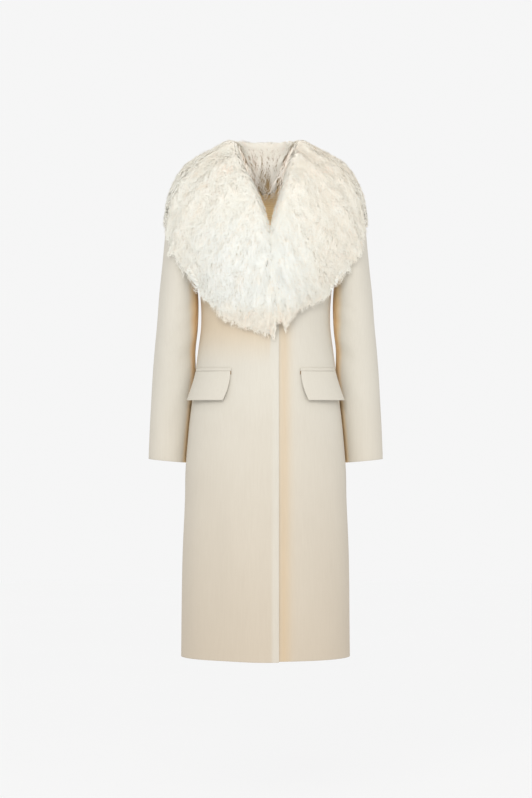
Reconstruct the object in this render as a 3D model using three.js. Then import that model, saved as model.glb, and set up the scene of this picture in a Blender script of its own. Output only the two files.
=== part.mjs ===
// A women's long coat in cream wool, as worn: hollow, open at neck, cuffs, armholes and hem, single
// breasted with a concealed front, two flap pockets and a large shawl collar of long curly fur.
// Millimetres, +Z up, the front faces -Y. The origin is in the middle of the neck, level with the side
// neck points. Most shapes are worked out for one side, with X positive away from the centre, and
// mirrored for the other.
import * as THREE from "three";

// ---- Driving dimensions ----
const CLOTH = 2.2; // wall of the heavy wool cloth
const SEAM = 0.36; // gap between two pieces at a seam
const HALF_SEAM = SEAM / 2;
const ARMHOLE_GAP = 0.7; // how far out from the armhole each sleeve starts
const HEM_Z = -1151; // height of the hem
const ARMPIT_Z = -205; // lowest point of the armhole
const NECK_HALF = 70; // side neck point, from the centre
const NECK_Z = -3; // side neck point, height
const NAPE_DROP = 18; // centre back neck, below the side neck point
const SHOULDER_HALF = 188; // end of the shoulder seam, from the centre
const SHOULDER_Z = -45; // end of the shoulder seam, height
const RIDGE_Y = 4; // the shoulder seam and the side seam lie in this plane
const FRONT_ROUND = 110; // height over which the front rounds down from the shoulder
const BACK_ROUND = 85; // height over which the back rounds down from the shoulder
const LAP = 30; // how far each front reaches past the centre
const LAP_RAMP = 42; // width over which the upper front rises onto the lower one
const LAP_RISE = CLOTH + 1.2; // how far the upper front stands out over the lap
const LAP_LONGER = { drop: 2, height: 300, width: 120 }; // the upper front hangs lower near its edge
// Pocket flap: top edge, height, inner end from the centre, its slant and how late that sets in, where
// round the body it ends in degrees, wall, clearance of its root, how far its lower edge stands out, and
// the share of that at its inner end.
const FLAP = {
  top: -484, height: 65.5, inner: 81.5, slant: 14, late: 2, endAngle: 13.5,
  wall: 3, clear: 0.9, stand: 13, innerStand: 0.62,
};
const WELT = { height: 6, gap: 1.5, wall: 2.2, clear: 0.6, longer: 1 };
const LOCK_RELIEF = 3.5; // how far the large fur locks stand out
const LOCKS = 11; // large locks along each half of the collar
const FUR_CLEAR = 5; // fur solids stay this far off the cloth

const COLOURS = {
  cloth: 0xe9ddc6,
  fur: 0xf2ece0,
  facing: 0xb59f7d,
};

// Body: half width and the depths of front and back from the plane y = 0. Above the armpit the half
// width is that of the whole rounded section, which the armhole cuts short.
const BODY = [
  { z: -1170, half: 199, front: 159, back: 156.5 },
  { z: -1151, half: 198.5, front: 158, back: 156 },
  { z: -926, half: 195.5, front: 148, back: 150 },
  { z: -785, half: 189.8, front: 140, back: 145 },
  { z: -715, half: 188.5, front: 137, back: 142 },
  { z: -620, half: 181, front: 132, back: 137 },
  { z: -550, half: 173, front: 127, back: 130 },
  { z: -479, half: 164.5, front: 121, back: 120 },
  { z: -432, half: 158.5, front: 117, back: 111 },
  { z: -385, half: 152.5, front: 114, back: 104.5 },
  { z: -350, half: 151.5, front: 113.5, back: 103 },
  { z: -305, half: 154, front: 118, back: 106 },
  { z: -250, half: 160, front: 127.5, back: 113 },
  { z: -205, half: 163.5, front: 130.5, back: 118 },
  { z: -180, half: 170, front: 127, back: 119.5 },
  { z: -150, half: 182, front: 120, back: 120 },
  { z: -120, half: 195, front: 111, back: 118 },
  { z: -90, half: 208, front: 102, back: 113 },
  { z: -45, half: 225, front: 91, back: 102 },
  { z: 0, half: 236, front: 85, back: 92 },
];

// The front edge: straight up the lap, then along the roll line of the collar to the side neck point.
const ROLL = [
  { z: -1170, x: -LAP },
  { z: -390, x: -LAP },
  { z: -300, x: -17 },
  { z: -226, x: -1 },
  { z: -170, x: 12 },
  { z: -120, x: 26 },
  { z: -60, x: 46 },
  { z: NECK_Z, x: NECK_HALF },
];

// Armhole, from the armpit up to the shoulder point.
const ARMHOLE = [
  { z: ARMPIT_Z, front: 163.5, back: 163.5 },
  { z: -185, front: 157, back: 163 },
  { z: -160, front: 154, back: 163 },
  { z: -130, front: 155, back: 165 },
  { z: -100, front: 162, back: 170 },
  { z: -70, front: 174, back: 179 },
  { z: SHOULDER_Z, front: SHOULDER_HALF, back: SHOULDER_HALF },
];

// Sleeve rings below the armhole: the inner and outer end of each in the plane of the arm, the y of its
// middle, and half its depth.
const SLEEVE = [
  { inX: 166.4, inZ: -215, outX: 207, outZ: -54, y: 7, depth: 63 },
  { inX: 166, inZ: -225, outX: 221, outZ: -78, y: 8, depth: 66 },
  { inX: 165.4, inZ: -235, outX: 229.5, outZ: -112, y: 9, depth: 68 },
  { inX: 164.2, inZ: -247, outX: 235.5, outZ: -152, y: 10, depth: 69 },
  { inX: 162.2, inZ: -264, outX: 240, outZ: -200, y: 12, depth: 69 },
  { inX: 159.8, inZ: -290, outX: 245, outZ: -250, y: 14, depth: 68.5 },
  { inX: 158, inZ: -330, outX: 251, outZ: -306, y: 18, depth: 67 },
  { inX: 160, inZ: -384, outX: 256, outZ: -372, y: 22, depth: 64 },
  { inX: 165.5, inZ: -436, outX: 261.5, outZ: -428, y: 28, depth: 60 },
  { inX: 165, inZ: -496, outX: 266.5, outZ: -488, y: 33, depth: 57 },
  { inX: 171.8, inZ: -556, outX: 270, outZ: -548, y: 35, depth: 54 },
  { inX: 179.5, inZ: -620, outX: 273.5, outZ: -612, y: 35, depth: 51.5 },
  { inX: 186.3, inZ: -697, outX: 276.6, outZ: -688.5, y: 33, depth: 49 },
];

// Fur collar, one half, from the centre back round the neck to the lower front. Each station holds the
// points of the fur's outer form from the neck to the free edge, and the core that the fur's underside
// is sought towards. leftRise shortens the left half at the free edge.
const COLLAR = [
  {
    neck: [0, 58, 4], crest: [0, 74, 57], upper: [0, 108, 37],
    middle: [0, 132, -32], lower: [0, 152, -115], edge: [0, 136, -195],
    coreTop: [0, 50, -60], coreLow: [0, 60, -200], leftRise: 0,
  },
  {
    neck: [36, 50, 6], crest: [50, 64, 58], upper: [84, 92, 39],
    middle: [122, 114, -26], lower: [146, 124, -104], edge: [152, 104, -194],
    coreTop: [40, 42, -60], coreLow: [120, 20, -190], leftRise: 0,
  },
  {
    neck: [56, 26, 14], crest: [70, 36, 58], upper: [112, 54, 40],
    middle: [164, 66, 1], lower: [210, 80, -74], edge: [222, 86, -184],
    coreTop: [74, 22, -60], coreLow: [170, 12, -180], leftRise: 0,
  },
  {
    neck: [62, 3, 20], crest: [80, 3, 58], upper: [124, 2, 38],
    middle: [186, 1, 1], lower: [225, 2, -64], edge: [238, 10, -142],
    coreTop: [86, 4, -80], coreLow: [180, 6, -180], leftRise: 0,
  },
  {
    neck: [58, -22, 14], crest: [76, -30, 53], upper: [124, -50, 24],
    middle: [178, -62, -22], lower: [215, -66, -84], edge: [232, -42, -168],
    coreTop: [78, -8, -80], coreLow: [180, 0, -190], leftRise: 0,
  },
  {
    neck: [47, -52, -10], crest: [62, -68, 18], upper: [106, -96, -6],
    middle: [152, -106, -62], lower: [196, -98, -140], edge: [222, -66, -212],
    coreTop: [66, -20, -100], coreLow: [180, 0, -220], leftRise: 0,
  },
  {
    neck: [33, -84, -52], crest: [44, -112, -34], upper: [82, -137, -56],
    middle: [124, -136, -124], lower: [160, -114, -200], edge: [186, -76, -262],
    coreTop: [50, -30, -120], coreLow: [150, 0, -260], leftRise: 0,
  },
  {
    neck: [12, -114, -108], crest: [24, -145, -100], upper: [58, -158, -132],
    middle: [92, -156, -206], lower: [120, -130, -275], edge: [142, -84, -320],
    coreTop: [36, -40, -150], coreLow: [80, 0, -310], leftRise: 6,
  },
  {
    neck: [0, -133, -172], crest: [12, -162, -168], upper: [40, -174, -205],
    middle: [66, -162, -270], lower: [86, -136, -325], edge: [100, -106, -364],
    coreTop: [20, -40, -190], coreLow: [50, 0, -360], leftRise: 32,
  },
  {
    neck: [0, -137, -240], crest: [11, -164, -240], upper: [30, -171, -275],
    middle: [44, -158, -320], lower: [54, -140, -358], edge: [60, -124, -388],
    coreTop: [12, -40, -240], coreLow: [30, 0, -385], leftRise: 48,
  },
  {
    neck: [0, -134, -305], crest: [9, -155, -306], upper: [18, -156, -335],
    middle: [24, -149, -362], lower: [28, -140, -384], edge: [30, -129, -402],
    coreTop: [6, -30, -305], coreLow: [16, 0, -400], leftRise: 38,
  },
  {
    neck: [0, -129, -362], crest: [5, -142, -366], upper: [8, -142, -378],
    middle: [10, -138, -390], lower: [11, -134, -398], edge: [12, -128, -406],
    coreTop: [4, -20, -362], coreLow: [8, 0, -405], leftRise: 10,
  },
];
const COLLAR_PROFILE = ["neck", "crest", "upper", "middle", "lower", "edge"];
const COLLAR_SHIFT_NEAR = 20; // the shift of the meeting line acts in full up to here
const COLLAR_SHIFT_FAR = 110; // and has faded out here

// The line where the two halves of the collar meet leans to the wearer's left as it goes down.
const MEETING = [
  { z: -410, x: 32 },
  { z: -362, x: 33 },
  { z: -327, x: 29 },
  { z: -291, x: 22 },
  { z: -256, x: 16 },
  { z: -200, x: 10 },
  { z: -120, x: 9 },
  { z: -50, x: 7 },
  { z: -10, x: 0 },
  { z: 80, x: 0 },
];

// ---- Numbers and curves ----
const clamp = (value, low = 0, high = 1) => Math.min(high, Math.max(low, value));
const mix = (a, b, share) => a + (b - a) * share;
const smooth = (value) => {
  const share = clamp(value);
  return share * share * (3 - 2 * share);
};

// Smooth curve through a column of a table, read at a value of its z column.
function column(rows, name) {
  const ordered = [...rows].sort((a, b) => a.z - b.z);
  const slope = (i) => {
    const low = ordered[Math.max(i - 1, 0)];
    const high = ordered[Math.min(i + 1, ordered.length - 1)];
    return (high[name] - low[name]) / (high.z - low.z);
  };
  return (z) => {
    const at = clamp(z, ordered[0].z, ordered.at(-1).z);
    let i = 0;
    while (i < ordered.length - 2 && at > ordered[i + 1].z) i += 1;
    const [low, high] = [ordered[i], ordered[i + 1]];
    const span = high.z - low.z;
    const t = (at - low.z) / span;
    const rise = (high[name] - low[name]) / span;
    const limit = (s) => (rise === 0 || s / rise <= 0 ? 0 : rise * Math.min(s / rise, 3));
    const [startSlope, endSlope] = [limit(slope(i)), limit(slope(i + 1))];
    const bend = t * (1 - t) * span * ((1 - t) * (startSlope - rise) - t * (endSlope - rise));
    return mix(low[name], high[name], t) + bend;
  };
}

const halfWidth = column(BODY, "half");
const frontDepth = column(BODY, "front");
const backDepth = column(BODY, "back");
const rollX = column(ROLL, "x");
const meetingX = column(MEETING, "x");
const armholeX = { front: column(ARMHOLE, "front"), back: column(ARMHOLE, "back") };

// ---- Body surface ----
const ridgeZ = (x) => {
  const slope = (SHOULDER_Z - NECK_Z) / (SHOULDER_HALF - NECK_HALF);
  return NECK_Z + Math.max(0, Math.abs(x) - NECK_HALF) * slope;
};
const neckEdgeZ = (x) =>
  Math.abs(x) < NECK_HALF ? NECK_Z - NAPE_DROP * (1 - (x / NECK_HALF) ** 2) : ridgeZ(x);

// The y of the body's outer surface at a place in the front view.
function bodyY(x, z, face) {
  const across = Math.sqrt(clamp(1 - (x / halfWidth(z)) ** 2));
  const height = face === "front" ? FRONT_ROUND : BACK_ROUND;
  const rounded = 1 - clamp((ridgeZ(x) - z) / height);
  const over = Math.sqrt(1 - rounded * rounded);
  if (face === "front") return RIDGE_Y - (frontDepth(z) + RIDGE_Y) * across * over;
  return RIDGE_Y + (backDepth(z) - RIDGE_Y) * across * over;
}

// Rows of a body panel: straight rings below the armpit, then rows that fan out to the shoulder.
const LOW_ROWS = [
  HEM_Z, -1040, -926, -850, -785, -715, -650, -600, -550, -515,
  -479, -445, -412, -380, -350, -320, -290, -260, -232, ARMPIT_Z,
];
const UPPER_ROWS = 9;
const PANEL_ROWS = LOW_ROWS.length - 1 + UPPER_ROWS;

function panelRow(v) {
  const low = LOW_ROWS.length - 1;
  if (v <= low) {
    const i = Math.min(Math.floor(v), low - 1);
    const z = mix(LOW_ROWS[i], LOW_ROWS[i + 1], v - i);
    return { upper: 0, armZ: z };
  }
  const upper = (1 - Math.cos(((v - low) / UPPER_ROWS) * Math.PI)) / 2;
  return { upper, armZ: mix(ARMPIT_Z, SHOULDER_Z, upper) };
}

const seamAngle = (z) => HALF_SEAM / (halfWidth(z) * 0.75);

// A point of one front panel. u runs from its front edge to the side seam or armhole, v from hem to
// shoulder.
function frontPoint(u, v, isUpperLayer) {
  const row = panelRow(v);
  const edgeZ = row.upper > 0 ? mix(ARMPIT_Z, NECK_Z, row.upper) : row.armZ;
  const edgeAngle = Math.acos(rollX(edgeZ) / halfWidth(edgeZ));
  const armAngle = row.upper > 0
    ? Math.max(Math.acos(clamp(armholeX.front(row.armZ) / halfWidth(row.armZ))), seamAngle(row.armZ))
    : seamAngle(row.armZ);
  const z = mix(edgeZ, row.armZ, u);
  const x = halfWidth(z) * Math.cos(mix(edgeAngle, armAngle, u));
  const lift = isUpperLayer ? LAP_RISE * (1 - smooth((x - LAP) / LAP_RAMP)) : 0;
  const y = bodyY(x, z, "front") - lift;
  const { drop, height, width } = LAP_LONGER;
  const droop = isUpperLayer ? drop * (1 - smooth((z - HEM_Z) / height)) * (1 - smooth(x / width)) : 0;
  return new THREE.Vector3(x, Math.min(y, RIDGE_Y - HALF_SEAM), z - droop);
}

// A point of one half of the back. u runs from the centre back to the side seam or armhole.
function backPoint(u, v) {
  const row = panelRow(v);
  const centreTop = NECK_Z - NAPE_DROP;
  const centreZ = row.upper > 0 ? mix(ARMPIT_Z, centreTop, row.upper) : row.armZ;
  const centreAngle = Math.PI / 2 - HALF_SEAM / halfWidth(centreZ);
  const armAngle = row.upper > 0
    ? Math.max(Math.acos(clamp(armholeX.back(row.armZ) / halfWidth(row.armZ))), seamAngle(row.armZ))
    : seamAngle(row.armZ);
  const straight = mix(centreZ, row.armZ, u);
  const x = halfWidth(straight) * Math.cos(mix(centreAngle, armAngle, u));
  const topX = halfWidth(mix(centreTop, SHOULDER_Z, u)) * Math.cos(mix(centreAngle, armAngle, u));
  const crown = neckEdgeZ(topX) - mix(centreTop, SHOULDER_Z, u);
  const z = straight + crown * row.upper ** 3;
  return new THREE.Vector3(x, Math.max(bodyY(x, z, "back"), RIDGE_Y + HALF_SEAM), z);
}

// ---- Sleeve surface ----
const AROUND_HALF = UPPER_ROWS;

// A point of the sleeve. i runs round from the armpit up the front, over the top and down the back, and
// k runs down.
function sleevePoint(i, k) {
  const round = AROUND_HALF * 2;
  const place = ((i % round) + round) % round;
  const isFront = place <= AROUND_HALF;
  const climb = isFront ? place : round - place;
  if (k < 1) {
    const v = LOW_ROWS.length - 1 + climb;
    const seam = isFront ? frontPoint(1, v, false) : backPoint(1, v);
    seam.x += ARMHOLE_GAP;
    return seam.lerp(sleeveRing(place, 0), k);
  }
  return sleeveRing(place, k - 1);
}

function sleeveRing(place, k) {
  const i = Math.min(Math.floor(k), SLEEVE.length - 2);
  const share = k - i;
  const value = (name) => {
    const places = [Math.max(i - 1, 0), i, i + 1, Math.min(i + 2, SLEEVE.length - 1)];
    const [a, b, c, d] = places.map((row) => SLEEVE[row][name]);
    const bend = 2 * a - 5 * b + 4 * c - d + share * (3 * (b - c) + d - a);
    return b + 0.5 * share * (c - a + share * bend);
  };
  const angle = Math.PI * (1 - place / AROUND_HALF);
  const reach = (1 + Math.cos(angle)) / 2;
  return new THREE.Vector3(
    mix(value("inX"), value("outX"), reach),
    value("y") - value("depth") * Math.sin(angle),
    mix(value("inZ"), value("outZ"), reach),
  );
}

// ---- Solids ----
// The outward direction of a surface at (u, v), from small steps that stay inside its range.
function outward(surface, u, v, uRange, vRange, facing) {
  const step = 0.02;
  const [u0, u1] = [Math.max(u - step, uRange[0]), Math.min(u + step, uRange[1])];
  const [v0, v1] = [Math.max(v - step, vRange[0]), Math.min(v + step, vRange[1])];
  const along = surface(u1, v).sub(surface(u0, v));
  const up = surface(u, v1).sub(surface(u, v0));
  return along.cross(up).normalize().multiplyScalar(facing);
}

const range = (low, high, steps) => Array.from({ length: steps + 1 }, (_, i) => mix(low, high, i / steps));

const untouched = (point) => point;

// A closed wall between a surface and the same surface moved by `thickness` against its outward side.
// `keep` holds every point on the wall's own side of a seam, and a surface that `wraps` goes on past its
// ends.
function wall(surface, uValues, vValues, options) {
  const { thickness, facing, side, keep = untouched, wraps = false } = options;
  const rows = uValues.length;
  const cols = vValues.length;
  const uRange = wraps ? [-Infinity, Infinity] : [uValues[0], uValues.at(-1)];
  const vRange = [vValues[0], vValues.at(-1)];
  const positions = [];
  const inner = [];
  for (const u of uValues) {
    for (const v of vValues) {
      const point = keep(surface(u, v));
      const inward = outward(surface, u, v, uRange, vRange, facing).multiplyScalar(-thickness);
      const under = keep(point.clone().add(inward));
      positions.push(point.x * side, point.y, point.z);
      inner.push(under.x * side, under.y, under.z);
    }
  }
  const count = rows * cols;
  positions.push(...inner);
  const faces = [];
  const flip = facing * side < 0;
  const quad = (a, b, c, d) => {
    if (flip) faces.push(a, c, b, a, d, c);
    else faces.push(a, b, c, a, c, d);
  };
  const at = (i, j) => i * cols + j;
  for (let i = 0; i < rows - 1; i += 1) {
    for (let j = 0; j < cols - 1; j += 1) {
      quad(at(i, j), at(i + 1, j), at(i + 1, j + 1), at(i, j + 1));
      quad(count + at(i, j), count + at(i, j + 1), count + at(i + 1, j + 1), count + at(i + 1, j));
    }
  }
  for (let i = 0; i < rows - 1; i += 1) {
    quad(at(i + 1, 0), at(i, 0), count + at(i, 0), count + at(i + 1, 0));
    quad(at(i, cols - 1), at(i + 1, cols - 1), count + at(i + 1, cols - 1), count + at(i, cols - 1));
  }
  for (let j = 0; j < cols - 1; j += 1) {
    quad(at(0, j), at(0, j + 1), count + at(0, j + 1), count + at(0, j));
    quad(at(rows - 1, j + 1), at(rows - 1, j), count + at(rows - 1, j), count + at(rows - 1, j + 1));
  }
  return geometryOf(positions, faces);
}

function geometryOf(positions, faces) {
  const geometry = new THREE.BufferGeometry();
  geometry.setAttribute("position", new THREE.Float32BufferAttribute(positions, 3));
  geometry.setIndex(faces);
  geometry.computeVertexNormals();
  return geometry;
}

// A closed solid through equal loops of points, with a flat-filled cap at each end.
function loft(loops, side) {
  const size = loops[0].length;
  const positions = loops.flat().flatMap((point) => [point.x * side, point.y, point.z]);
  const faces = [];
  const add = (a, b, c) => (side > 0 ? faces.push(a, c, b) : faces.push(a, b, c));
  for (let s = 0; s < loops.length - 1; s += 1) {
    for (let i = 0; i < size; i += 1) {
      const next = (i + 1) % size;
      const [a, b] = [s * size + i, s * size + next];
      add(a, b, b + size);
      add(a, b + size, a + size);
    }
  }
  const last = (loops.length - 1) * size;
  for (const [a, b, c] of capFaces(loops[0])) add(c, b, a);
  for (const [a, b, c] of capFaces(loops.at(-1))) add(last + a, last + b, last + c);
  return geometryOf(positions, faces);
}

// Triangles that fill a loop, worked out in the plane that it lies in most nearly.
function capFaces(loop) {
  const normal = new THREE.Vector3();
  loop.forEach((point, i) => {
    const next = loop[(i + 1) % loop.length];
    normal.add(new THREE.Vector3().crossVectors(point, next));
  });
  normal.normalize();
  const first = new THREE.Vector3(0, 0, 1).cross(normal).normalize();
  const second = new THREE.Vector3().crossVectors(normal, first);
  const flat = loop.map((point) => new THREE.Vector2(point.dot(first), point.dot(second)));
  return THREE.ShapeUtils.triangulateShape(flat, []);
}

// ---- Fur collar ----
// The head of the sleeve as a rounded block, and the upper arm as a tube whose values run down from the
// armpit.
const SLEEVE_HEAD = { x: 158, y: 9, z: -158, reach: 82, depth: 72, rise: 116 };
const UPPER_ARM = { height: 100, x: [201, 204], y: [12, 16], reach: [42, 48] };

// What the collar lies on, grown by the clearance: the body, its filled neck and the heads of the sleeves.
function isUnderCollar(point, grow) {
  const x = Math.abs(point.x);
  const half = halfWidth(point.z);
  const shrunk = point.z > ARMPIT_Z ? armholeX.back(Math.min(point.z, SHOULDER_Z)) : half;
  const bodyX = Math.max(0, Math.min(x, half) - grow * (x / half));
  const inBody = x < shrunk + grow && point.z < ridgeZ(x) + grow
    && point.y > bodyY(bodyX, point.z - grow, "front") - grow
    && point.y < bodyY(bodyX, point.z - grow, "back") + grow;
  if (inBody) return true;
  if (point.z > ARMPIT_Z) {
    const across = Math.abs(x - SLEEVE_HEAD.x) / (SLEEVE_HEAD.reach + grow);
    const along = Math.abs(point.y - SLEEVE_HEAD.y) / (SLEEVE_HEAD.depth + grow);
    const up = Math.max(0, point.z - SLEEVE_HEAD.z) / (SLEEVE_HEAD.rise + grow);
    return across ** 2.6 + along ** 2.2 + up ** 2.6 < 1;
  }
  const share = (ARMPIT_Z - point.z) / UPPER_ARM.height;
  const [middleX, middleY, reach] = ["x", "y", "reach"].map((name) => mix(...UPPER_ARM[name], share));
  const away = [(x - middleX) / (reach + grow), (point.y - middleY) / (SLEEVE_HEAD.depth + grow)];
  return away[0] ** 2 + away[1] ** 2 < 1;
}

const profileCurves = Object.fromEntries(
  [...COLLAR_PROFILE, "coreTop", "coreLow"].map((name) => {
    const points = COLLAR.map((station) => new THREE.Vector3(...station[name]));
    return [name, new THREE.CatmullRomCurve3(points, false, "centripetal")];
  }),
);

function stationPoints(s, isLeft) {
  const last = COLLAR.length - 1;
  const i = Math.min(Math.floor(s * last), last - 1);
  const rise = isLeft ? mix(COLLAR[i].leftRise, COLLAR[i + 1].leftRise, s * last - i) : 0;
  const points = COLLAR_PROFILE.map((name, place) => {
    const point = profileCurves[name].getPoint(s);
    point.z += rise * (place / (COLLAR_PROFILE.length - 1)) ** 2;
    return point;
  });
  return new THREE.CatmullRomCurve3(points, false, "centripetal");
}

const COLLAR_STATIONS = 42;
const OUTER_STEPS = 10;
const UNDER_PLACES = [0.985, 0.89, 0.79, 0.69, 0.59, 0.49, 0.39, 0.29, 0.19, 0.09];
const LOCK_TAPER = 0.3; // the locks stand out fully from this share of the way down

function collarLoop(s, isLeft) {
  const curve = stationPoints(s, isLeft);
  const top = profileCurves.coreTop.getPoint(s);
  const low = profileCurves.coreLow.getPoint(s);
  const aim = (t) => top.clone().lerp(low, t);
  const lock = Math.cos(s * LOCKS * 2 * Math.PI) * smooth(s * 12) * smooth((1 - s) * 12);
  const outer = range(0, 1, OUTER_STEPS).map((t) => {
    const point = curve.getPoint(t);
    const away = point.clone().sub(aim(t)).normalize();
    return point.addScaledVector(away, lock * LOCK_RELIEF * smooth(t / LOCK_TAPER));
  });
  const grow = FUR_CLEAR + (isLeft ? 0 : LAP_RISE);
  const under = UNDER_PLACES.map((t) => {
    const start = curve.getPoint(t);
    const end = aim(t);
    let [free, held] = [0, 1];
    for (let step = 1; step <= 40 && held === 1; step += 1) {
      const share = step / 40;
      if (isUnderCollar(start.clone().lerp(end, share), grow)) held = share;
      else free = share;
    }
    for (let step = 0; step < 12; step += 1) {
      const share = (free + held) / 2;
      if (isUnderCollar(start.clone().lerp(end, share), grow)) held = share;
      else free = share;
    }
    return start.lerp(end, free);
  });
  const side = isLeft ? 1 : -1;
  return [...outer, ...under].map((point) => {
    point.x = Math.max(point.x, 0) + SEAM;
    const near = 1 - smooth((point.x - COLLAR_SHIFT_NEAR) / (COLLAR_SHIFT_FAR - COLLAR_SHIFT_NEAR));
    const isFront = point.y < 0 ? 1 : 0;
    point.x += side * meetingX(point.z) * near * isFront;
    return point;
  });
}

function furHalf(isLeft) {
  const loops = range(0, 1, COLLAR_STATIONS).map((s) => collarLoop(s, isLeft));
  return loft(loops, isLeft ? 1 : -1);
}

// The collar's fur inside the back of the neck: it meets the roll at the top, where it is wider by the
// flare, and hangs as a thick fringe in front of the neck facing.
const STAND = {
  top: 46, low: -68, endRise: 0.65, halfWidth: 54, middle: 12, depth: 40, flare: 13, flareHeight: 46,
  wall: 9, spread: 82, waves: 9, wave: 5,
};

function standPoint(u, v) {
  const angle = THREE.MathUtils.degToRad(mix(-STAND.spread, STAND.spread, u));
  const drop = STAND.wave * Math.cos(u * STAND.waves * 2 * Math.PI) * (1 - v);
  const low = STAND.low * (1 - STAND.endRise * Math.sin(angle) ** 2);
  const z = mix(low, STAND.top, v) - drop;
  const flare = STAND.flare * smooth(z / STAND.flareHeight);
  return new THREE.Vector3(
    (STAND.halfWidth + flare) * Math.sin(angle),
    STAND.middle + (STAND.depth + flare) * Math.cos(angle),
    z,
  );
}

// ---- Back neck facing ----
const FACING = { half: 57, depth: 124, belowEdge: 3, clear: 1.8, wall: 1.6, dip: 30 };

function facingPoint(u, v) {
  const x = mix(-FACING.half, FACING.half, u);
  const top = neckEdgeZ(x) - FACING.belowEdge;
  const low = top - FACING.depth + FACING.dip * (x / FACING.half) ** 2;
  const z = mix(low, top, v);
  const inward = CLOTH + FACING.clear;
  const [y, yBelow] = [bodyY(x, z, "back"), bodyY(x, z - 1, "back")];
  const lean = Math.hypot(1, yBelow - y);
  return new THREE.Vector3(x, y - inward / lean - SEAM, z - (inward * (yBelow - y)) / lean);
}

// ---- Pockets ----
// A point on the front, given across by the angle round the body, moved out by `lift`.
function frontSkin(angle, z, lift) {
  const at = (place) => {
    const x = halfWidth(z) * Math.cos(place);
    return new THREE.Vector2(x, bodyY(x, z, "front"));
  };
  const point = at(angle);
  const along = at(angle - 0.01).sub(point).normalize();
  return new THREE.Vector3(point.x + along.y * lift, point.y - along.x * lift, z);
}

function flapPoint(u, v) {
  const down = 1 - v;
  const z = FLAP.top - FLAP.height * down;
  const innerX = FLAP.inner + FLAP.slant * down ** FLAP.late;
  const innerAngle = Math.acos(innerX / halfWidth(z));
  const outerAngle = THREE.MathUtils.degToRad(FLAP.endAngle);
  const angle = mix(innerAngle, outerAngle, u);
  const stand = FLAP.stand * down ** 1.3 * mix(FLAP.innerStand, 1, u);
  return frontSkin(angle, z, FLAP.wall + FLAP.clear + stand);
}

function weltPoint(u, v) {
  const z = FLAP.top + WELT.gap + WELT.height * v;
  const innerAngle = Math.acos((FLAP.inner - WELT.longer) / halfWidth(z));
  return frontSkin(mix(innerAngle, THREE.MathUtils.degToRad(FLAP.endAngle), u), z, WELT.wall + WELT.clear);
}

// ---- The coat ----
const coat = new THREE.Group();
const cloth = { color: COLOURS.cloth, roughness: 0.92, metalness: 0 };
const fur = { color: COLOURS.fur, roughness: 0.85, metalness: 0 };
const facing = { color: COLOURS.facing, roughness: 0.8, metalness: 0 };

function addPiece(name, geometry, look) {
  const mesh = new THREE.Mesh(geometry, new THREE.MeshStandardMaterial(look));
  mesh.name = name;
  coat.add(mesh);
}

const PANEL_COLUMNS = 12;
const FRONT_SEAM = 1; // sleeve seams, counted in steps round from the armpit
const BACK_SEAM = 14;
const seamStep = HALF_SEAM / 20;
const panelRows = range(0, PANEL_ROWS, PANEL_ROWS);
const sleeveRows = range(0, SLEEVE.length, SLEEVE.length);
const pocketColumns = range(0, 1, 9);
const flapRows = range(0, 1, 4);
const weltRows = range(0, 1, 1);

function between(low, high) {
  const whole = range(Math.ceil(low), Math.floor(high), Math.floor(high) - Math.ceil(low));
  const inside = whole.filter((value) => value > low + 0.1 && value < high - 0.1);
  return [low, ...inside, high];
}

// Each panel stays on its own side of the side, shoulder and centre back seams.
function keepFront(point) {
  point.y = Math.min(point.y, RIDGE_Y - HALF_SEAM);
  return point;
}

function keepBack(point) {
  point.y = Math.max(point.y, RIDGE_Y + HALF_SEAM);
  point.x = Math.max(point.x, HALF_SEAM);
  return point;
}

for (const [sideName, side] of [["left", 1], ["right", -1]]) {
  const isOver = sideName === "right";
  const columns = range(0, 1, PANEL_COLUMNS);
  const frontWall = { thickness: CLOTH, facing: 1, side, keep: keepFront };
  const backWall = { thickness: CLOTH, facing: -1, side, keep: keepBack };
  const sleeveWall = { thickness: CLOTH, facing: -1, side, wraps: true };
  const flapWall = { thickness: FLAP.wall, facing: 1, side };
  const weltWall = { thickness: WELT.wall, facing: 1, side };
  const topSleeve = between(FRONT_SEAM + seamStep, BACK_SEAM - seamStep);
  const underSleeve = between(BACK_SEAM + seamStep - AROUND_HALF * 2, FRONT_SEAM - seamStep);
  const front = (u, v) => frontPoint(u, v, isOver);
  addPiece("front_" + sideName, wall(front, columns, panelRows, frontWall), cloth);
  addPiece("back_" + sideName, wall(backPoint, columns, panelRows, backWall), cloth);
  addPiece("sleeve_top_" + sideName, wall(sleevePoint, topSleeve, sleeveRows, sleeveWall), cloth);
  addPiece("sleeve_under_" + sideName, wall(sleevePoint, underSleeve, sleeveRows, sleeveWall), cloth);
  addPiece("collar_" + sideName, furHalf(!isOver), fur);
  addPiece("pocket_flap_" + sideName, wall(flapPoint, pocketColumns, flapRows, flapWall), cloth);
  addPiece("pocket_welt_" + sideName, wall(weltPoint, pocketColumns, weltRows, weltWall), cloth);
}
const standWall = { thickness: STAND.wall, facing: -1, side: 1 };
const facingWall = { thickness: FACING.wall, facing: -1, side: 1 };
addPiece("collar_inner", wall(standPoint, range(0, 1, 18), range(0, 1, 4), standWall), fur);
addPiece("neck_facing", wall(facingPoint, range(0, 1, 12), range(0, 1, 4), facingWall), facing);

export default coat;
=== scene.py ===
import math

import bmesh
import bpy
import numpy as np
from bpy.props import FloatProperty, FloatVectorProperty, IntProperty, PointerProperty
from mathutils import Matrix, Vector
from mathutils.bvhtree import BVHTree
from mathutils.kdtree import KDTree


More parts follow.
